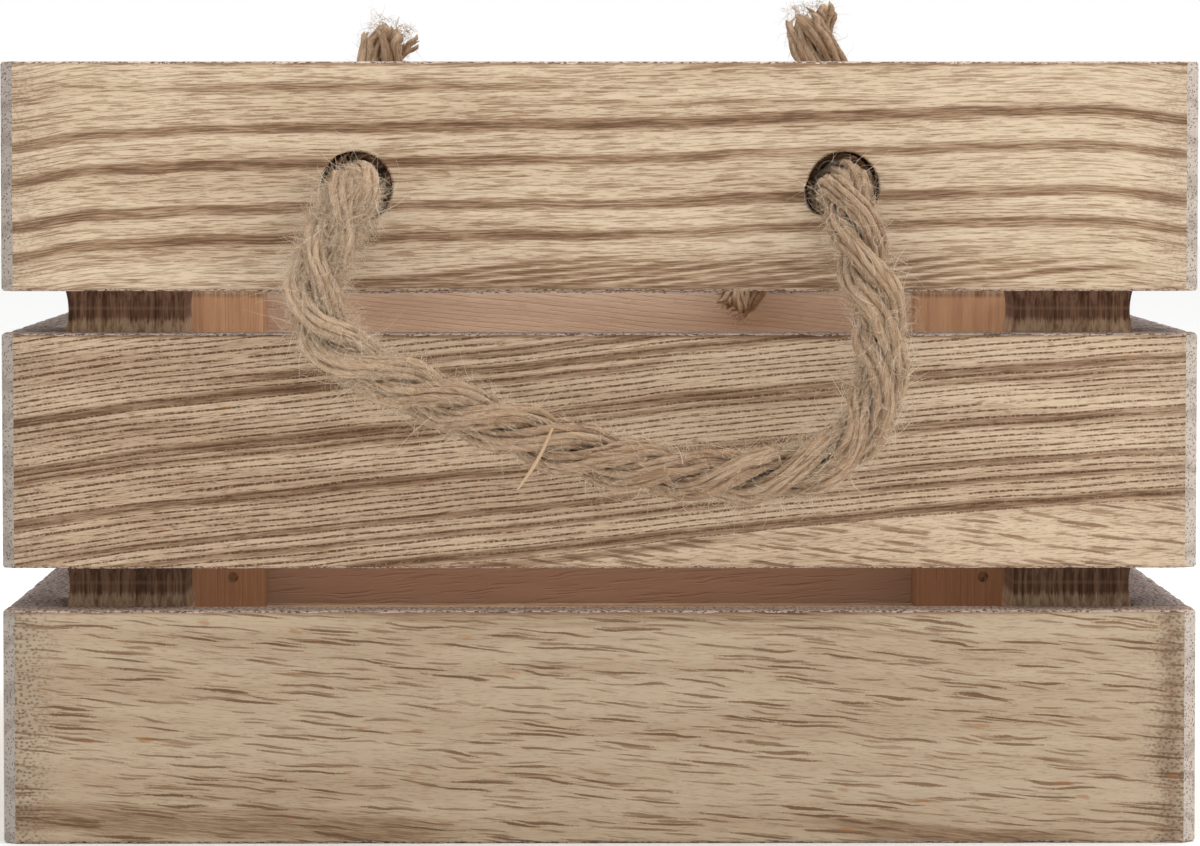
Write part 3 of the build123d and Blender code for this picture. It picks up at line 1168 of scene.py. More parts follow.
MIDDLE_FIGURE = Figure(
    streaks=(
        Streak(37.2, 0.7, 0.55),
        Streak(40.0, 0.7, 0.46, None, -62, 62),
        Streak(35.0, 0.5, 0.4, None, -40, 12),
        Streak(28.4, 0.75, 0.46),
        Streak(26.6, 0.45, 0.32),
        Streak(19.1, 0.7, 0.46),
        Streak(12.2, 0.4, 0.4),
        Streak(9.1, 0.4, 0.4),
        Streak(4.7, 0.65, 0.58),
        Streak(2.6, 0.4, 0.42, None, -30, 20),
    ),
    rise=0.1,
    bend=-0.0000925,
    sway=0.2,
    wander=0.4,
    end_fall=0.4,
    rows=0.84,
    row_gap=1.08,
    rows_from=3.4,
    hairs=0.15,
    ticks=0.4,
    dashes=0.55,
    dash_length=20.0,
    dash_gap=1.3,
    dash_half=0.26,
    dash_rise=-0.13,
    dash_until=3.6,
    flecks=0.3,
    end_pores=0.16,
    lean=0.14,
    light=(216, 193, 166),
    pale=(197, 172, 145),
    tan=(158, 130, 105),
    brown=(124, 96, 73),
    dark=(84, 60, 44),
    seed=1.1,
)

BOTTOM_FIGURE = Figure(
    streaks=(
        Streak(2.6, 2.6, 0.5, -0.012, -110, -28),
        Streak(5.4, 1.3, 0.36, 0.0, -100, -40),
        Streak(4.6, 1.6, 0.46, -0.045, 40, 84),
        Streak(40.0, 0.7, 0.34, -0.02, -45, 45),
        Streak(38.4, 0.4, 0.22, -0.03, -20, 60),
    ),
    rise=-0.06,
    sway=0.5,
    wander=1.3,
    end_fall=0.0,
    rows=0.0,
    hairs=0.1,
    ticks=0.26,
    dashes=0.76,
    dash_length=31.0,
    dash_gap=1.22,
    dash_half=0.215,
    dash_rise=-0.085,
    dash_wave=1.3,
    flecks=0.5,
    end_pores=0.6,
    burnt_end=0.36,
    lean=0.06,
    light=(189, 170, 145),
    pale=(179, 159, 133),
    tan=(155, 130, 105),
    brown=(130, 103, 79),
    dark=(94, 70, 52),
    seed=2.3,
)

FLOOR_FIGURE = Figure(
    streaks=(Streak(9.0, 1.0, 0.5), Streak(20.0, 1.2, 0.45), Streak(31.0, 0.9, 0.5), Streak(38.0, 0.7, 0.4)),
    rise=0.012,
    bend=0.00012,
    sway=1.2,
    wander=1.6,
    end_fall=0.0,
    light=(222, 192, 158),
    pale=(206, 173, 138),
    tan=(172, 136, 103),
    seed=3.1,
)


def turned(figure: Figure, seed: float, shift: float, flip: bool) -> Figure:
    """Cut another board from the same kind of figure.

    Args:
        figure: The figure to start from.
        seed: Seed of the new board's noise and waves.
        shift: How far its streaks move up, in millimetres.
        flip: Whether its grain climbs the other way.

    Returns:
        The new figure.
    """
    way = -1 if flip else 1
    streaks = tuple(
        replace(
            streak,
            height=streak.height + shift,
            rise=None if streak.rise is None else way * streak.rise,
            start=-streak.stop if flip else streak.start,
            stop=-streak.start if flip else streak.stop,
        )
        for streak in figure.streaks
    )
    return replace(
        figure, streaks=streaks, rise=way * figure.rise, dash_rise=way * figure.dash_rise, seed=seed
    )


# Timber


@dataclass
class Slat:
    """One slat of a wall, brushed so that its hard late wood stands up, with worn arrises."""

    node: str
    lie: Lie
    figure: Figure
    seed: int
    bevel: float = 0.0
    holes: tuple[Point, ...] = ()
    torn: tuple[float, ...] = ()
    step: float = 1.1
    arris: float = 0.45
    relief: float = 0.14
    ragged: float = 0.22
    bit_turns: int = 72
    bit_lead: float = 1.6
    bit_depths: tuple[float, ...] = (0.0, 0.25, 0.6, 1.2, 3.0, 6.0, 9.0, 10.2, 10.6, 12.4)
    torn_towards: float = 205.0

    def __post_init__(self) -> None:
        """Read the slat's place and size from the frame."""
        low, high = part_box(self.node)
        self.middle = (low + high) / 2
        half = (high - low) / (2 * MM)
        self.half = tuple(half)
        grain, wide, thick = self.lie.value
        self.half_long, self.half_tall, self.half_thick = half[grain], half[wide], half[thick]
        self.facing = 1 if self.middle[thick] > 0 else -1

    def section(self) -> tuple[np.ndarray, np.ndarray]:
        """Lay out the points round the slat's section.

        Returns:
            The heights and the depths of the points, from the section's middle.
        """
        tall, deep, worn = self.half_tall, self.half_thick, self.arris
        corners = ((1, 1, 0), (1, -1, 90), (-1, -1, 180), (-1, 1, 270))
        runs = (66, 9, 22, 9)
        starts = ((-tall + worn, deep), (tall, deep - worn), (tall - worn, -deep), (-tall, -deep + worn))
        stops = ((tall - worn, deep), (tall, -deep + worn), (-tall + worn, -deep), (-tall, deep - worn))
        section: list[np.ndarray] = []
        for (up, out, angle), count, start, stop in zip(corners, runs, starts, stops):
            section.append(np.linspace(start, stop, count))
            turns = np.radians([angle + 30, angle + 60])
            arc = [up * (tall - worn) + worn * np.sin(turns), out * (deep - worn) + worn * np.cos(turns)]
            section.append(np.column_stack(arc))
        heights, depths = np.vstack(section).T
        return heights, depths

    def stations(self) -> np.ndarray:
        """Lay out the sections along the slat, closer together at its ends.

        Returns:
            The distance of each section from the slat's middle.
        """
        half, bevel = self.half_long, self.bevel
        close = [0.0, 0.1, 0.3]
        if bevel:
            close += [bevel * 0.5, bevel - 0.12, bevel, bevel + 0.15]
        body = np.arange(-half + max(close) + self.step, half - max(close) - self.step / 2, self.step)
        return np.concatenate([[-half + c for c in close], body, [half - c for c in reversed(close)]])

    def shape(self) -> tuple[np.ndarray, list[Face]]:
        """Build the slat's surface.

        Returns:
            Its points in metres in the frame, and its faces.
        """
        heights, depths = self.section()
        stations = self.stations()
        along = np.repeat(stations[:, None], len(heights), 1)
        high = np.repeat(heights[None, :], len(stations), 0)
        deep = np.repeat(depths[None, :], len(stations), 0)
        tall, thick, half = self.half_tall, self.half_thick, self.half_long

        ridges = self.figure.ridges(along, high + tall, half) - 1
        furrow = Ripple(self.seed + 40, 3.4, 1.1, 5).at(high - self.figure.rise * along) * 0.5 - 0.5
        slow = Ripple(self.seed + 41, 150, 30, 4).at(along + high * 0.3)
        brushed = self.relief * (ridges * 0.65 + furrow * 0.35 * (1 + 0.3 * slow))
        on_face = ease(np.abs(high), tall - 0.05, tall - 1.4)
        outer = on_face * (deep > thick - 0.01)
        inner = on_face * (deep < -thick + 0.01)
        deep = deep + outer * brushed - inner * brushed * 0.4

        corners = ((1, 1), (1, -1), (-1, -1), (-1, 1))
        base_high, base_deep = high.copy(), deep.copy()
        for number, (up, out) in enumerate(corners):
            gap = np.hypot(base_high - up * tall, base_deep - out * thick)
            line = Ripple(self.seed + 50 + number, 21, 1.9, 8).at(stations)[:, None]
            bite = self.ragged * (0.35 + 0.65 * np.clip(line + 0.35, 0, None)) * np.exp(-((gap / 0.8) ** 2))
            high -= up * bite
            deep -= out * bite * 0.7

        out_at = np.abs(along)
        if self.bevel:
            over = np.clip(out_at - (half - self.bevel), 0, None)
            deep = -thick + (deep + thick) * (1 - over / (2 * thick))
        eased = 0.28 * ease(out_at, half - 0.32, half)
        high = high * (1 - eased / tall)
        deep = deep * (1 - eased / thick)

        grain, wide, across = self.lie.value
        points = np.empty((along.size, 3))
        axes = np.zeros((3, 3))
        placed = ((grain, along, 1), (wide, high, 1), (across, deep, self.facing))
        for row, (axis, values, way) in enumerate(placed):
            points[:, axis] = values.ravel() * way
            axes[row, axis] = way
        faces = tube(*along.shape, flip=np.linalg.det(axes) > 0)
        return points * MM + np.array(self.middle), faces

    def bit(self, number: int) -> bpy.types.Object:
        """Shape the bit for one hole: its mouth is a little torn where it broke through.

        Args:
            number: Which of the slat's holes it is for.

        Returns:
            The bit, to be cut out of the slat.
        """
        x, z, radius = self.holes[number]
        angles = np.linspace(0, 2 * math.pi, self.bit_turns, endpoint=False)
        worn = Ripple(self.seed + 70 + number, math.pi, 0.35, 6).at(angles)
        off = (angles - math.radians(self.torn_towards) + math.pi) % (2 * math.pi) - math.pi
        tear = self.torn[number] * np.exp(-((off / 0.42) ** 2))
        rings = []
        for place in (-self.bit_lead, *self.bit_depths):
            inward = max(place, 0.0)
            mouth = 0.22 * math.exp(-inward / 0.5) + 0.16 * math.exp(-inward / 1.4) * worn
            chip = tear * math.exp(-inward / 1.1) * (0.7 + 0.3 * worn)
            size = (radius + mouth + chip + 0.05 * worn) * MM
            y = (self.half_thick - place) * self.facing * MM + self.middle[1]
            ring = [x + size * np.cos(angles), np.full_like(angles, y), z + size * np.sin(angles)]
            rings.append(np.column_stack(ring))
        bit = put_mesh(f"bit_{number}", np.vstack(rings), tube(len(rings), self.bit_turns))
        if self.facing < 0:
            bit.data.flip_normals()
        return bit

    def drill(self, piece: bpy.types.Object) -> None:
        """Drill the rope holes.

        Args:
            piece: The slat to drill.
        """
        for number in range(len(self.holes)):
            bit = self.bit(number)
            cut = piece.modifiers.new("hole", "BOOLEAN")
            cut.operation, cut.solver, cut.object = "DIFFERENCE", "EXACT", bit
            bpy.context.view_layer.update()
            drilled = piece.evaluated_get(bpy.context.evaluated_depsgraph_get())
            drilled = bpy.data.meshes.new_from_object(drilled)
            piece.modifiers.clear()
            piece.data = drilled
            bpy.data.objects.remove(bit)
        piece.data.set_sharp_from_angle(angle=math.radians(40))

    def build(self) -> bpy.types.Object:
        """Build, drill and dress the slat.

        Returns:
            The finished slat, which stands for its plain node in the frame.
        """
        points, faces = self.shape()
        piece = put_mesh(f"brushed_{self.node}", points, faces)
        if self.holes:
            self.drill(piece)
        base = self.middle.z - self.half[2] * MM
        drilled = tuple(((x - self.middle.x) / MM, (z - base) / MM) for x, z, _ in self.holes)
        grey = self.lie is Lie.ALONG_SIDE
        finish = Timber(
            f"wood_{self.node}",
            self.lie,
            tuple(self.middle),
            self.half,
            self.figure,
            self.facing,
            drilled,
            edge_tone=(190, 174, 166) if grey else (206, 184, 168),
            edge_pits=(58, 44, 42) if grey else (64, 44, 36),
            inside_tone=(178, 143, 122) if "bottom" in self.node else (226, 198, 174),
            inside_deep=(155, 122, 99) if "bottom" in self.node else (194, 162, 136),
        ).make()
        wear(piece, finish)
        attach(piece, "crate")
        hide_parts(self.node)
        return piece


@dataclass
class Walls:
    """The four slatted walls."""

    hole_spacing: float = 85.2
    hole_drop: float = 22.0
    hole_radius: float = 6.0
    bevel: float = 2.2
    rows: tuple[str, ...] = ("bottom", "middle", "top")
    figures: dict[str, Figure] = field(
        default_factory=lambda: {"bottom": BOTTOM_FIGURE, "middle": MIDDLE_FIGURE, "top": TOP_FIGURE}
    )

    def end_slat(self, end: End, row: str) -> Slat:
        """Set out one end slat.

        Args:
            end: The wall that it belongs to.
            row: Its row in the wall.

        Returns:
            The slat, ready to build.
        """
        node = f"slat_{end.name.lower()}_{row}"
        figure = self.figures[row]
        if end is End.REAR:
            figure = turned(figure, figure.seed + 4.4, -1.6, True)
        holes: tuple[Point, ...] = ()
        if row == "top":
            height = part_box(node)[1].z - self.hole_drop * MM
            across = self.hole_spacing / 2 * MM
            holes = ((-across, height, self.hole_radius), (across, height, self.hole_radius))
        seed = 100 + 10 * self.rows.index(row) + (5 if end is End.REAR else 0)
        torn = (0.25, 1.0) if end is End.FRONT else (0.7, 0.2)
        return Slat(node, Lie.ALONG_END, figure, seed, self.bevel, holes, torn)

    def side_slat(self, side: Side, row: str) -> Slat:
        """Set out one side slat.

        Args:
            side: The wall that it belongs to.
            row: Its row in the wall.

        Returns:
            The slat, ready to build.
        """
        place = self.rows.index(row)
        source = self.figures[self.rows[(place - side.value) % len(self.rows)]]
        figure = turned(source, 6.3 + place + 4 * side.value, 0.8 * place - 1.2, side is Side.LEFT)
        figure = replace(figure, burnt_end=0.0, rise=figure.rise * 0.6)
        seed = 200 + 10 * place + side.value
        return Slat(f"slat_{side.name.lower()}_{row}", Lie.ALONG_SIDE, figure, seed, step=1.6)

    def build(self) -> None:
        """Build every slat."""
        for row in self.rows:
            slats = [self.end_slat(end, row) for end in End] + [self.side_slat(side, row) for side in Side]
            for slat in slats:
                piece = slat.build()
                LOG.info("built %s with %d faces", piece.name, len(piece.data.polygons))


@dataclass
class Carcass:
    """The corner posts, the floor and its cleats, and the brads, which keep their shapes from the frame."""

    burnt_gaps: tuple[tuple[str, str, float], ...] = (("bottom", "middle", 0.4), ("middle", "top", 0.05))
    boards: int = 4

    def gaps(self) -> tuple[tuple[float, float, float], ...]:
        """Measure the gaps between the slats.

        Returns:
            The bottom and top of each gap, and how burnt the posts are in it.
        """
        return tuple(
            (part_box(f"slat_front_{below}")[1].z / MM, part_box(f"slat_front_{above}")[0].z / MM, burnt)
            for below, above, burnt in self.burnt_gaps
        )

    def dress_timber(self, node: str, lie: Lie, figure: Figure) -> None:
        """Dress one plain piece of timber.

        Args:
            node: Its node in the frame.
            lie: How it lies.
            figure: Its figure.
        """
        low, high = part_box(node)
        middle, half = (low + high) / 2, (high - low) / (2 * MM)
        finish = Timber(
            f"wood_{node}",
            lie,
            tuple(middle),
            tuple(half),
            figure,
            inside_share=0.0,
            edge_tone=(206, 176, 144),
            edge_pits=(120, 92, 70),
        ).make()
        wear(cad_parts[node], finish)
        LOG.info("dressed %s", node)

    def build(self) -> None:
        """Dress every post, board, cleat and group of brads."""
        post_finish = PostTimber("post_wood", self.gaps()).make()
        steel = BradSteel().make()
        for end in End:
            for side in Side:
                wear(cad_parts[f"post_{end.name.lower()}_{side.name.lower()}"], post_finish)
            cleat = turned(FLOOR_FIGURE, 5.0 + end.value, -3.0, end is End.REAR)
            self.dress_timber(f"floor_cleat_{end.name.lower()}", Lie.CROSS_FLOOR, cleat)
        LOG.info("dressed the posts")
        for number in range(1, self.boards + 1):
            figure = turned(FLOOR_FIGURE, 3.1 + 1.7 * number, 2.2 * number - 5, number % 2 == 0)
            self.dress_timber(f"floor_board_{number}", Lie.ON_FLOOR, figure)
        for name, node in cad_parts.items():
            if "brads" in name:
                wear(node, steel)
        LOG.info("dressed the brads")


# Rope


class RopeLine:
    """A rope's centreline, evenly spaced along, with a frame that doesn't twist carried along it."""

    def __init__(self, name: str, route: list[Point], spacing: float = 0.75) -> None:
        """Draw the smooth line through a route.

        Args:
            name: Name for the line while it is drawn.
            route: Control points in metres in the frame.
            spacing: Distance between the line's points, in millimetres.
        """
        curve = bpy.data.curves.new(name, "CURVE")
        curve.dimensions = "3D"
        curve.resolution_u = 32
        spline = curve.splines.new("NURBS")
        spline.points.add(len(route) - 1)
        for point, place in zip(spline.points, route):
            point.co = (*place, 1.0)
        spline.order_u = 3
        spline.use_endpoint_u = True
        drawn = bpy.data.objects.new(name, curve)
        bpy.context.scene.collection.objects.link(drawn)
        bpy.context.view_layer.update()
        mesh = bpy.data.meshes.new_from_object(drawn)
        points = np.array([vertex.co[:] for vertex in mesh.vertices]) / MM
        bpy.data.objects.remove(drawn)
        bpy.data.curves.remove(curve)
        bpy.data.meshes.remove(mesh)
        far = np.concatenate([[0], np.cumsum(np.linalg.norm(np.diff(points, axis=0), axis=1))])
        self.length = float(far[-1])
        count = max(int(round(self.length / spacing)), 8) + 1
        self.at = np.linspace(0, self.length, count)
        self.points = np.column_stack([np.interp(self.at, far, points[:, axis]) for axis in range(3)])
        self.ahead = unit(np.gradient(self.points, axis=0))
        self.across = np.zeros_like(self.points)
        first = np.cross(self.ahead[0], (0.0, 0.0, 1.0))
        if np.linalg.norm(first) < 0.2:
            first = np.cross(self.ahead[0], (0.0, 1.0, 0.0))
        self.across[0] = unit(first)
        for i in range(1, count):
            carried = self.across[i - 1] - self.ahead[i] * (self.across[i - 1] @ self.ahead[i])
            self.across[i] = unit(carried)
        self.beside = np.cross(self.ahead, self.across)

    def path(self) -> list[tuple[float, float, float]]:
        """Give the line's points in metres."""
        return [tuple(point) for point in self.points * MM]


@dataclass
class Laid:
    """Three strands laid up left-handed, each of several yarns, all a little uneven."""

    strands: int = 3
    yarns: int = 8
    sides: int = 7
    strand_out: float = 2.72
    yarn_out: float = 1.66
    yarn_radius: float = 0.66
    core_radius: float = 1.35
    lay_length: float = 33.0
    yarn_lay: float = 38.0
    unruly: float = 0.2
    seed: int = 1
    first_turn: float = 0.0
    swell: float = 1.0
    frayed: float = 0.0
    fibre_lay: float = 17.0

    def yarn(
        self, line: RopeLine, strand: int, number: int, fray: np.ndarray, draw: np.random.Generator
    ) -> Skin:
        """Lay one yarn, or the core that fills its strand.

        Args:
            line: The rope's centreline.
            strand: The strand that it belongs to.
            number: Its number in the strand; the last is the core.
            fray: How frayed the rope is at each of the line's points.
            draw: The rope's own run of random numbers.

        Returns:
            Its rings of points in millimetres, its faces, and the marks that the finish reads.
        """
        at, full = line.at, 2 * math.pi
        turn = self.first_turn + full * strand / self.strands - full * at / self.lay_length
        turn = turn + 0.14 * Ripple(self.seed * 31 + strand, 60, 17, 4).at(at)
        lean = 0.16 * Ripple(self.seed * 37 + strand, 44, 13, 4).at(at)
        out = self.swell * (self.strand_out + lean + 0.7 * fray)
        key = self.seed * 1000 + strand * 40 + number * 3
        core = number == self.yarns
        inner = turn + full * (number + draw.uniform(-0.12, 0.12)) / self.yarns
        inner = inner + full * at / self.yarn_lay + 0.2 * Ripple(key, 34, 9, 4).at(at)
        held = 0.0 if core else self.yarn_out + self.unruly * Ripple(key + 1, 26, 6, 5).at(at)
        reach = self.swell * (held + 0.7 * fray * draw.uniform(0.2, 1.6))
        a = out * np.cos(turn) + reach * np.cos(inner)
        b = out * np.sin(turn) + reach * np.sin(inner)
        thick = self.core_radius if core else self.yarn_radius
        radius = self.swell * thick * (1 + 0.13 * Ripple(key + 2, 22, 4, 5).at(at))
        shown = np.arange(len(at))
        if self.frayed:
            a = a + 0.75 * fray * Ripple(key + 6, 9, 3, 4).at(at)
            b = b + 0.75 * fray * Ripple(key + 7, 9, 3, 4).at(at)
            shown = np.flatnonzero(at <= line.length - draw.uniform(0, 2.6))
        a, b, radius, run = a[shown], b[shown], radius[shown], at[shown]
        if self.frayed:
            tip = np.minimum(run - run[0], run[-1] - run)
            radius = radius * (0.45 + 0.55 * np.clip(tip / 1.6, 0, 1))
        radius[[0, -1]] *= 0.3

        spin = np.linspace(0, full, self.sides, endpoint=False)
        phase = spin[None, :] - (full * run / self.fibre_lay)[:, None]
        ripples = 1 + 0.07 * np.sin(3 * phase + key)
        ring = radius[:, None] * ripples * draw.normal(1, 0.045, ripples.shape)
        across, beside = line.across[shown], line.beside[shown]
        centre = line.points[shown] + a[:, None] * across + b[:, None] * beside
        points = (
            centre[:, None, :]
            + (ring * np.cos(spin))[..., None] * across[:, None, :]
            + (ring * np.sin(spin))[..., None] * beside[:, None, :]
        ).reshape(-1, 3)
        lay = np.stack([np.repeat(run[:, None], self.sides, 1), np.cos(phase), np.sin(phase)], -1)
        tone = draw.uniform(0, 1) * 0.6 + 0.4 * (0.5 + 0.5 * Ripple(key + 5, 70, 20, 3).at(run))
        marks = {"lay": lay.reshape(-1, 3), "tone": np.repeat(np.clip(tone, 0, 1), self.sides)}
        return points, tube(len(shown), self.sides), marks

    def lay_up(self, line: RopeLine) -> Skin:
        """Lay all the strands along a line.

        Args:
            line: The rope's centreline.

        Returns:
            Points in metres, faces, and the marks that the finish reads.
        """
        draw = np.random.default_rng(self.seed)
        fray = np.zeros_like(line.at)
        if self.frayed:
            fray = ease(line.at, line.length - self.frayed, line.length)
        yarns = [
            self.yarn(line, strand, number, fray, draw)
            for strand in range(self.strands)
            for number in range(self.yarns + 1)
        ]
        points, faces, marks = join_parts(yarns)
        return points * MM, faces, marks


@dataclass
class Fluff:
    """Loose fibres that stand off a rope, each a thin curled hair."""

    count: int
    shortest: float
    longest: float
    thick: float
    curl: float
    lift: float
    seed: int
    steps: int = 6
    root: float = 4.3
    tone: float = 0.4
    stand_off: float = 0.25

    def grow(
        self, line: RopeLine, weight: np.ndarray, wall: float | None = None, facing: int = 1
    ) -> Skin:
        """Grow the fibres along a line.

        Args:
            line: The rope's centreline.
            weight: How thickly they grow at each of the line's points.
            wall: Y of the wall face that they stay clear of, in millimetres, or None.
            facing: The way that the wall faces along Y.

        Returns:
            Points in metres, faces, and the marks that the finish reads.
        """
        draw = np.random.default_rng(self.seed)
        n = self.count
        chance = weight / weight.sum()
        index = draw.choice(len(line.at), n, p=chance)
        turn = draw.uniform(0, 2 * math.pi, n)
        out = np.cos(turn)[:, None] * line.across[index] + np.sin(turn)[:, None] * line.beside[index]
        root = line.points[index] + out * (self.root * draw.uniform(0.8, 1.08, n))[:, None]
        way = draw.choice([-1.0, 1.0], n)[:, None]
        head = out * draw.uniform(0.15, self.lift, n)[:, None]
        head = head + line.ahead[index] * way * draw.uniform(0.3, 1, n)[:, None]
        head = unit(head + draw.normal(0, 0.25, (n, 3)))
        axis = unit(draw.normal(0, 1, (n, 3)))
        length = self.shortest + (self.longest - self.shortest) * draw.uniform(0, 1, n) ** 2.2
        rate = self.curl * draw.uniform(-1, 1, n) / np.maximum(length, 1)
        step = (length / self.steps)[:, None]
        centre = [root]
        heads = [head]
        for _ in range(self.steps):
            head = unit(head + np.cross(axis, head) * (rate[:, None] * step) + draw.normal(0, 0.1, (n, 3)))
            centre.append(centre[-1] + head * step)
            heads.append(head)
        path = np.stack(centre, 1)
        if wall is not None:
            proud = (path[..., 1] - wall) * facing
            clear = (root[:, 1] - wall) * facing > 0.4
            held_off = self.stand_off + 0.1 * np.abs(proud) % 0.3
            pushed = np.where(clear[:, None] & (proud < self.stand_off), held_off, proud)
            path[..., 1] = wall + pushed * facing
        ahead = np.stack(heads, 1)
        side = np.cross(ahead, axis[:, None, :])
        side /= np.maximum(np.linalg.norm(side, axis=2), 1e-6)[..., None]
        other = np.cross(ahead, side)
        taper = np.linspace(1, 0.25, self.steps + 1)
        size = self.thick * draw.uniform(0.55, 1.25, n)[:, None] * taper[None, :]
        ring = []
        for k in range(3):
            spin = 2 * math.pi * k / 3
            ring.append(path + size[..., None] * (math.cos(spin) * side + math.sin(spin) * other))
        points = np.stack(ring, 2)
        per = 3 * (self.steps + 1)
        faces = [face for hair in range(n) for face in tube(self.steps + 1, 3, hair * per)]
        tone = np.repeat(np.clip(draw.normal(self.tone, 0.28, n), 0, 1), per)
        return points.reshape(-1, 3) * MM, faces, {"tone": tone}


def join_parts(parts: list[Skin]) -> Skin:
    """Join several sets of points, faces and marks into one.

    Args:
        parts: The sets.

    Returns:
        One set, in the same order.
    """
    faces: list[Face] = []
    base = 0
    for points, found, _ in parts:
        faces += [tuple(base + i for i in face) for face in found]
        base += len(points)
    marks = {mark: np.concatenate([part[2][mark] for part in parts]) for mark in parts[0][2]}
    return np.vstack([part[0] for part in parts]), faces, marks


@dataclass(frozen=True)
class Tail:
    """One free end beyond its knot: across, inward of the wall's inner face, and up."""

    route: tuple[Point, ...]
    rises: bool = True


@dataclass(frozen=True)
class Straw:
    """One flat pale straw caught in the rope: across, proud of the wall, and up, at its two ends."""

    start: Point
    stop: Point
    wide: float = 0.3
    thick: float = 0.14
    bow: float = 0.5
    tone: float = 0.7
    steps: int = 14
    sides: int = 8

    def build(self, handle: RopeHandle, finish: bpy.types.Material, number: int) -> bpy.types.Object:
        """Build the straw.

        Args:
            handle: The handle that it is caught in.
            finish: Its finish.
            number: Its number on that handle.

        Returns:
            The finished straw, on a body named for its handle.
        """
        ends = np.array([handle.out(*self.start), handle.out(*self.stop)]) / MM
        ahead = ends[1] - ends[0]
        share = np.linspace(0, 1, self.steps + 1)
        side = unit(np.cross(ahead, (0.0, 1.0, 0.0)))
        face = np.cross(side, unit(ahead))
        bowed = (self.bow * np.sin(math.pi * share))[:, None] * (side + face)
        middle = ends[0] + share[:, None] * ahead + bowed
        taper = 0.3 + 0.7 * np.sin(math.pi * (0.08 + 0.84 * share)) ** 0.5
        turns = np.linspace(0, 2 * math.pi, self.sides, endpoint=False)
        points = (
            middle[:, None, :]
            + (taper[:, None] * self.wide * np.cos(turns))[..., None] * side
            + (taper[:, None] * self.thick * np.sin(turns))[..., None] * face
        ).reshape(-1, 3)
        faces = tube(self.steps + 1, self.sides)
        marks = {"tone": np.full(len(points), self.tone)}
        straw = put_mesh(f"straw_{handle.end.name.lower()}_{number}", points * MM, faces, marks, sharp=180)
        wear(straw, finish)
        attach(straw, f"{handle.end.name.lower()}_handle")
        return straw


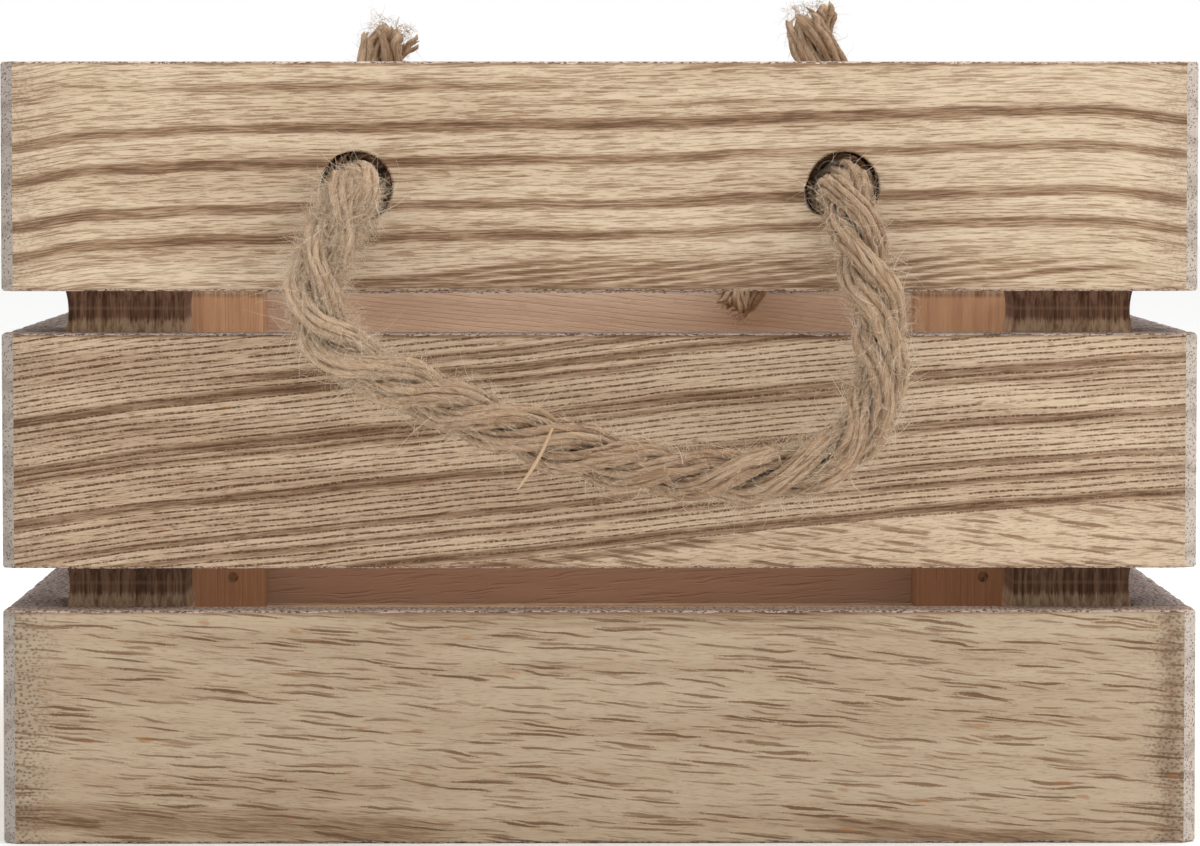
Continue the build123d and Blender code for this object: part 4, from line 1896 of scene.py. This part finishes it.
@dataclass
class RopeHandle:
    """One rope handle: a hanging loop, its necks through the wall, a knot and a frayed tail at each end."""

    end: End
    route: tuple[Point, ...]
    tails: dict[Side, Tail]
    fluffy: tuple[tuple[float, float], ...]
    seed: int
    darkens: tuple[float, float] = (40.0, 95.0)
    lightens: tuple[float, float] = (122.0, 152.0)
    first_turn: float = 0.1
    straws: tuple[Straw, ...] = ()
    hair: int = 18000
    diameter: float = 10.0
    hole_across: float = 42.6
    hole_height: float = 115.4
    knot_turn: float = 6.9

    def __post_init__(self) -> None:
        """Read where the faces of its wall stand, in millimetres from the middle."""
        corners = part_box(f"slat_{self.end.name.lower()}_top")
        stands = sorted(round(abs(corner.y) / MM, 3) for corner in corners)
        self.wall_in, self.wall_out = stands

    def out(self, across: float, proud: float, up: float) -> Point:
        """Place a point that stands proud of the outer face of the wall, in metres in the frame."""
        return across * MM, self.end.value * (self.wall_out + proud) * MM, up * MM

    def loop_line(self) -> RopeLine:
        """Draw the line of the loop and its two necks.

        Returns:
            The line, from one end to the other.
        """
        thickness = self.wall_out - self.wall_in
        across, up = self.hole_across, self.hole_height
        route = [self.out(-across, -thickness, up), self.out(-across, -2.5, up)]
        route += [self.out(*point) for point in self.route]
        route += [self.out(across, -2.5, up), self.out(across, -thickness, up)]
        return RopeLine(f"line_{self.end.name.lower()}", route)

    def knot_line(self, side: Side) -> RopeLine:
        """Draw the line of one knot and its tail.

        Args:
            side: Which of the two holes the knot stops.

        Returns:
            The line, from inside the hole to the frayed tip.
        """
        middle, over = self.hole_across * side.value, self.knot_turn * side.value
        lift = self.knot_turn if self.tails[side].rises else -self.knot_turn
        knot = [
            (0.0, -6.0, 0.0),
            (0.0, 1.0, 0.0),
            (-0.35 * over, 4.6, -0.5 * lift),
            (-1.05 * over, 6.2, -0.35 * lift),
            (-1.15 * over, 7.0, 0.75 * lift),
            (-0.1 * over, 6.5, 1.12 * lift),
            (1.1 * over, 7.5, 0.7 * lift),
            (1.15 * over, 9.5, -0.55 * lift),
            (0.2 * over, 13.5, -1.15 * lift),
            (-1.0 * over, 15.2, -0.6 * lift),
            (-0.7 * over, 15.0, 0.45 * lift),
            (0.1 * over, 10.6, 0.55 * lift),
        ]
        places = [(middle + a, inward, self.hole_height + up) for a, inward, up in knot]
        places += list(self.tails[side].route)
        route = [(a * MM, self.end.value * (self.wall_in - inward) * MM, up * MM) for a, inward, up in places]
        return RopeLine(f"line_{self.end.name.lower()}_{side.name.lower()}", route)

    def growth(self, line: RopeLine) -> np.ndarray:
        """Give how thickly fibres stand along the loop, from the patches set for this handle.

        Args:
            line: The loop's line.

        Returns:
            The thickness at each of the line's points.
        """
        share = line.at / line.length
        weight = np.ones_like(share)
        for place, more in self.fluffy:
            weight = weight + more * np.exp(-(((share - place) / 0.055) ** 2))
        return weight * ease(share, 0.058, 0.085) * ease(share, 0.942, 0.915)

    def build(self, yarn: bpy.types.Material, fluff: bpy.types.Material) -> None:
        """Build the loop, its knots and tails, and their loose fibres.

        Args:
            yarn: The finish of the yarns.
            fluff: The finish of the loose fibres.
        """
        name = self.end.name.lower()
        line = self.loop_line()
        laid = Laid(seed=self.seed, first_turn=self.first_turn)
        points, faces, marks = laid.lay_up(line)
        run = marks["lay"][:, 0]
        darker = 0.54 * ease(run, *self.darkens) - 0.16 * ease(run, *self.lightens)
        marks["tone"] = 0.54 * marks["tone"] + darker
        rope = put_mesh(f"rope_loop_{name}", points, faces, marks, sharp=180)
        wear(rope, yarn)
        weight = self.growth(line)
        even = np.sqrt(weight)
        wall = (self.end.value * self.wall_out, self.end.value)
        short = Fluff(self.hair, 0.8, 5.2, 0.028, 5.5, 0.95, self.seed + 1, 5)
        lying = Fluff(self.hair // 7, 3.0, 9.0, 0.034, 2.6, 0.3, self.seed + 2, root=4.6)
        curled = Fluff(self.hair // 8, 3.0, 11.0, 0.046, 7.5, 0.8, self.seed + 3, 11, tone=0.3)
        spread = ((short, weight), (lying, even), (curled, weight))
        haze = [kind.grow(line, thickness, *wall) for kind, thickness in spread]
        fuzz = put_mesh(f"rope_fluff_{name}", *join_parts(haze), sharp=180)
        wear(fuzz, fluff)
        for piece in (rope, fuzz):
            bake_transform(piece)
        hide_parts(f"handle_loop_{name}", *(f"rope_neck_{name}_{side.name.lower()}" for side in Side))
        ends = [self.knot(side, yarn, fluff) for side in Side]
        straws = [straw.build(self, fluff, number) for number, straw in enumerate(self.straws)]
        line.path()
        LOG.info("built the %s handle, %.1f mm from knot to knot", name, line.length)

    def knot(self, side: Side, yarn: bpy.types.Material, fluff: bpy.types.Material) -> list[bpy.types.Object]:
        """Build one knot with its frayed tail and its fibres.

        Args:
            side: Which of the two holes it stops.
            yarn: The finish of the yarns.
            fluff: The finish of the loose fibres.

        Returns:
            The knot and its fibres.
        """
        names = f"{self.end.name.lower()}_{side.name.lower()}"
        line = self.knot_line(side)
        seed = self.seed + 20 + side.value
        laid = Laid(seed=seed, first_turn=2.0 + side.value, swell=0.93, frayed=7.0, lay_length=29.0)
        points, faces, marks = laid.lay_up(line)
        knot = put_mesh(f"rope_knot_{names}", points, faces, marks, sharp=180)
        wear(knot, yarn)
        weight = 0.25 + 2.2 * ease(line.at, line.length - 26, line.length - 4)
        weight = weight * ease(line.at, 8, 14)
        tip = ease(line.at, line.length - 5, line.length - 0.5) + 1e-6
        haze = [
            Fluff(900, 1.0, 4.2, 0.034, 5.0, 0.9, seed + 1, root=4.0, tone=0.65).grow(line, weight),
            Fluff(150, 0.8, 2.4, 0.05, 6.5, 0.6, seed + 2, 7, root=2.6, tone=0.85).grow(line, tip),
        ]
        fuzz = put_mesh(f"knot_fluff_{names}", *join_parts(haze), sharp=180)
        wear(fuzz, fluff)
        for piece in (knot, fuzz):
            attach(piece, "crate")
        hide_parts(f"knot_{names}", f"rope_tail_{names}")
        return [knot, fuzz]


FRONT_HANDLE = RopeHandle(
    end=End.FRONT,
    route=(
        (-42.6, 5.3, 115.4),
        (-46.5, 9.4, 107.2),
        (-50.6, 14.0, 97.7),
        (-46.8, 17.0, 88.2),
        (-34.7, 19.0, 81.6),
        (-17.4, 21.0, 74.6),
        (-0.2, 22.0, 69.0),
        (17.0, 22.2, 65.7),
        (34.3, 21.0, 66.5),
        (45.0, 19.5, 72.5),
        (49.0, 17.5, 83.1),
        (48.0, 14.5, 94.2),
        (44.8, 9.9, 105.6),
        (42.6, 5.3, 115.4),
    ),
    tails={
        Side.LEFT: Tail(((-41.0, 10.0, 124.9), (-41.0, 10.0, 131.0), (-36.5, 11.0, 144.6))),
        Side.RIGHT: Tail(((41.0, 10.0, 124.9), (41.0, 10.0, 132.0), (36.8, 11.0, 147.8))),
    },
    fluffy=((0.08, 6.5), (0.14, 5.5), (0.24, 2.0), (0.3, 1.2), (0.68, 1.6), (0.76, 1.4), (0.93, 1.8)),
    seed=11,
    straws=(Straw((-8.3, 27.3, 74.6), (-14.4, 26.6, 63.9)),),
)

REAR_HANDLE = RopeHandle(
    end=End.REAR,
    route=(
        (-42.6, 5.3, 115.4),
        (-45.0, 9.8, 105.9),
        (-47.6, 14.0, 95.0),
        (-47.5, 17.0, 84.5),
        (-41.5, 19.3, 75.6),
        (-30.0, 21.0, 69.8),
        (-14.0, 22.0, 66.6),
        (3.5, 22.3, 66.4),
        (20.5, 21.5, 70.0),
        (35.5, 20.0, 76.4),
        (45.5, 17.8, 83.9),
        (49.6, 15.0, 93.3),
        (46.4, 9.8, 106.0),
        (42.6, 5.3, 115.4),
    ),
    tails={
        Side.LEFT: Tail(((-43.0, 10.0, 124.9), (-43.0, 10.0, 131.5), (-47.0, 12.0, 139.5))),
        Side.RIGHT: Tail(((40.0, 10.0, 105.9), (40.0, 10.0, 98.5), (31.5, 11.5, 85.0)), rises=False),
    },
    fluffy=((0.1, 2.0), (0.5, 0.8), (0.9, 2.0)),
    seed=57,
    hair=8000,
)


# Studio


@dataclass
class Studio:
    """The camera, the plain pale floor and the soft lights."""

    stand: Point = (-0.0079, -1.132, 0.122)
    aim: Point = (0.0, -0.150, 0.0741)
    lens: float = 168.2
    floor_half: float = 6.0

    def camera(self) -> None:
        """Stand the camera square to the front end, a little above its middle."""
        camera = bpy.data.objects.new("camera", bpy.data.cameras.new("camera"))
        bpy.context.scene.collection.objects.link(camera)
        camera.location = self.stand
        camera.rotation_euler = (Vector(self.aim) - Vector(self.stand)).to_track_quat("-Z", "Y").to_euler()
        camera.data.lens = self.lens
        camera.data.sensor_width = 36.0
        camera.data.clip_start, camera.data.clip_end = 0.05, 40.0
        bpy.context.scene.camera = camera

    def light(self, name: str, place: Point, aim: Point, size: float, power: float) -> None:
        """Hang one large soft light.

        Args:
            name: Its name.
            place: Where it hangs, in metres.
            aim: The point that it faces.
            size: Its width and height, in metres.
            power: Its power, in watts.
        """
        lamp = bpy.data.lights.new(name, "AREA")
        lamp.shape, lamp.size, lamp.energy = "SQUARE", size, power
        hung = bpy.data.objects.new(name, lamp)
        hung.location = place
        hung.rotation_euler = (Vector(aim) - Vector(place)).to_track_quat("-Z", "Y").to_euler()
        bpy.context.scene.collection.objects.link(hung)

    def build(self) -> None:
        """Set up the floor, the white surround and the lights."""
        half = self.floor_half
        corners = np.array([(-half, -half, 0), (half, -half, 0), (half, half, 0), (-half, half, 0)], float)
        floor = put_mesh("studio_floor", corners, [(0, 1, 2, 3)])
        wear(floor, StudioPaper().make())
        world = bpy.data.worlds.new("surround")
        world.use_nodes = True
        surround = world.node_tree.nodes["Background"]
        surround.inputs["Color"].default_value = (1.0, 1.0, 1.0, 1.0)
        surround.inputs["Strength"].default_value = 1.0
        bpy.context.scene.world = world
        self.light("key", (1.9, -0.8, 1.0), (0, 0, 0.07), 1.2, 10.0)
        self.light("top", (0.2, 0.1, 1.6), (0, 0, 0.05), 1.4, 13.0)
        bpy.context.scene.view_settings.view_transform = "Standard"


def main() -> None:
    """Build the whole crate, one sub-assembly at a time."""
    logging.basicConfig(level=logging.INFO, format="%(name)s: %(message)s")
    studio = Studio()
    studio.camera()
    yarn, fluff = JuteYarn().make(), JuteFluff().make()
    for handle in (FRONT_HANDLE, REAR_HANDLE):
        handle.build(yarn, fluff)
    Walls().build()
    Carcass().build()
    studio.build()


if __name__ == "__main__":
    main()
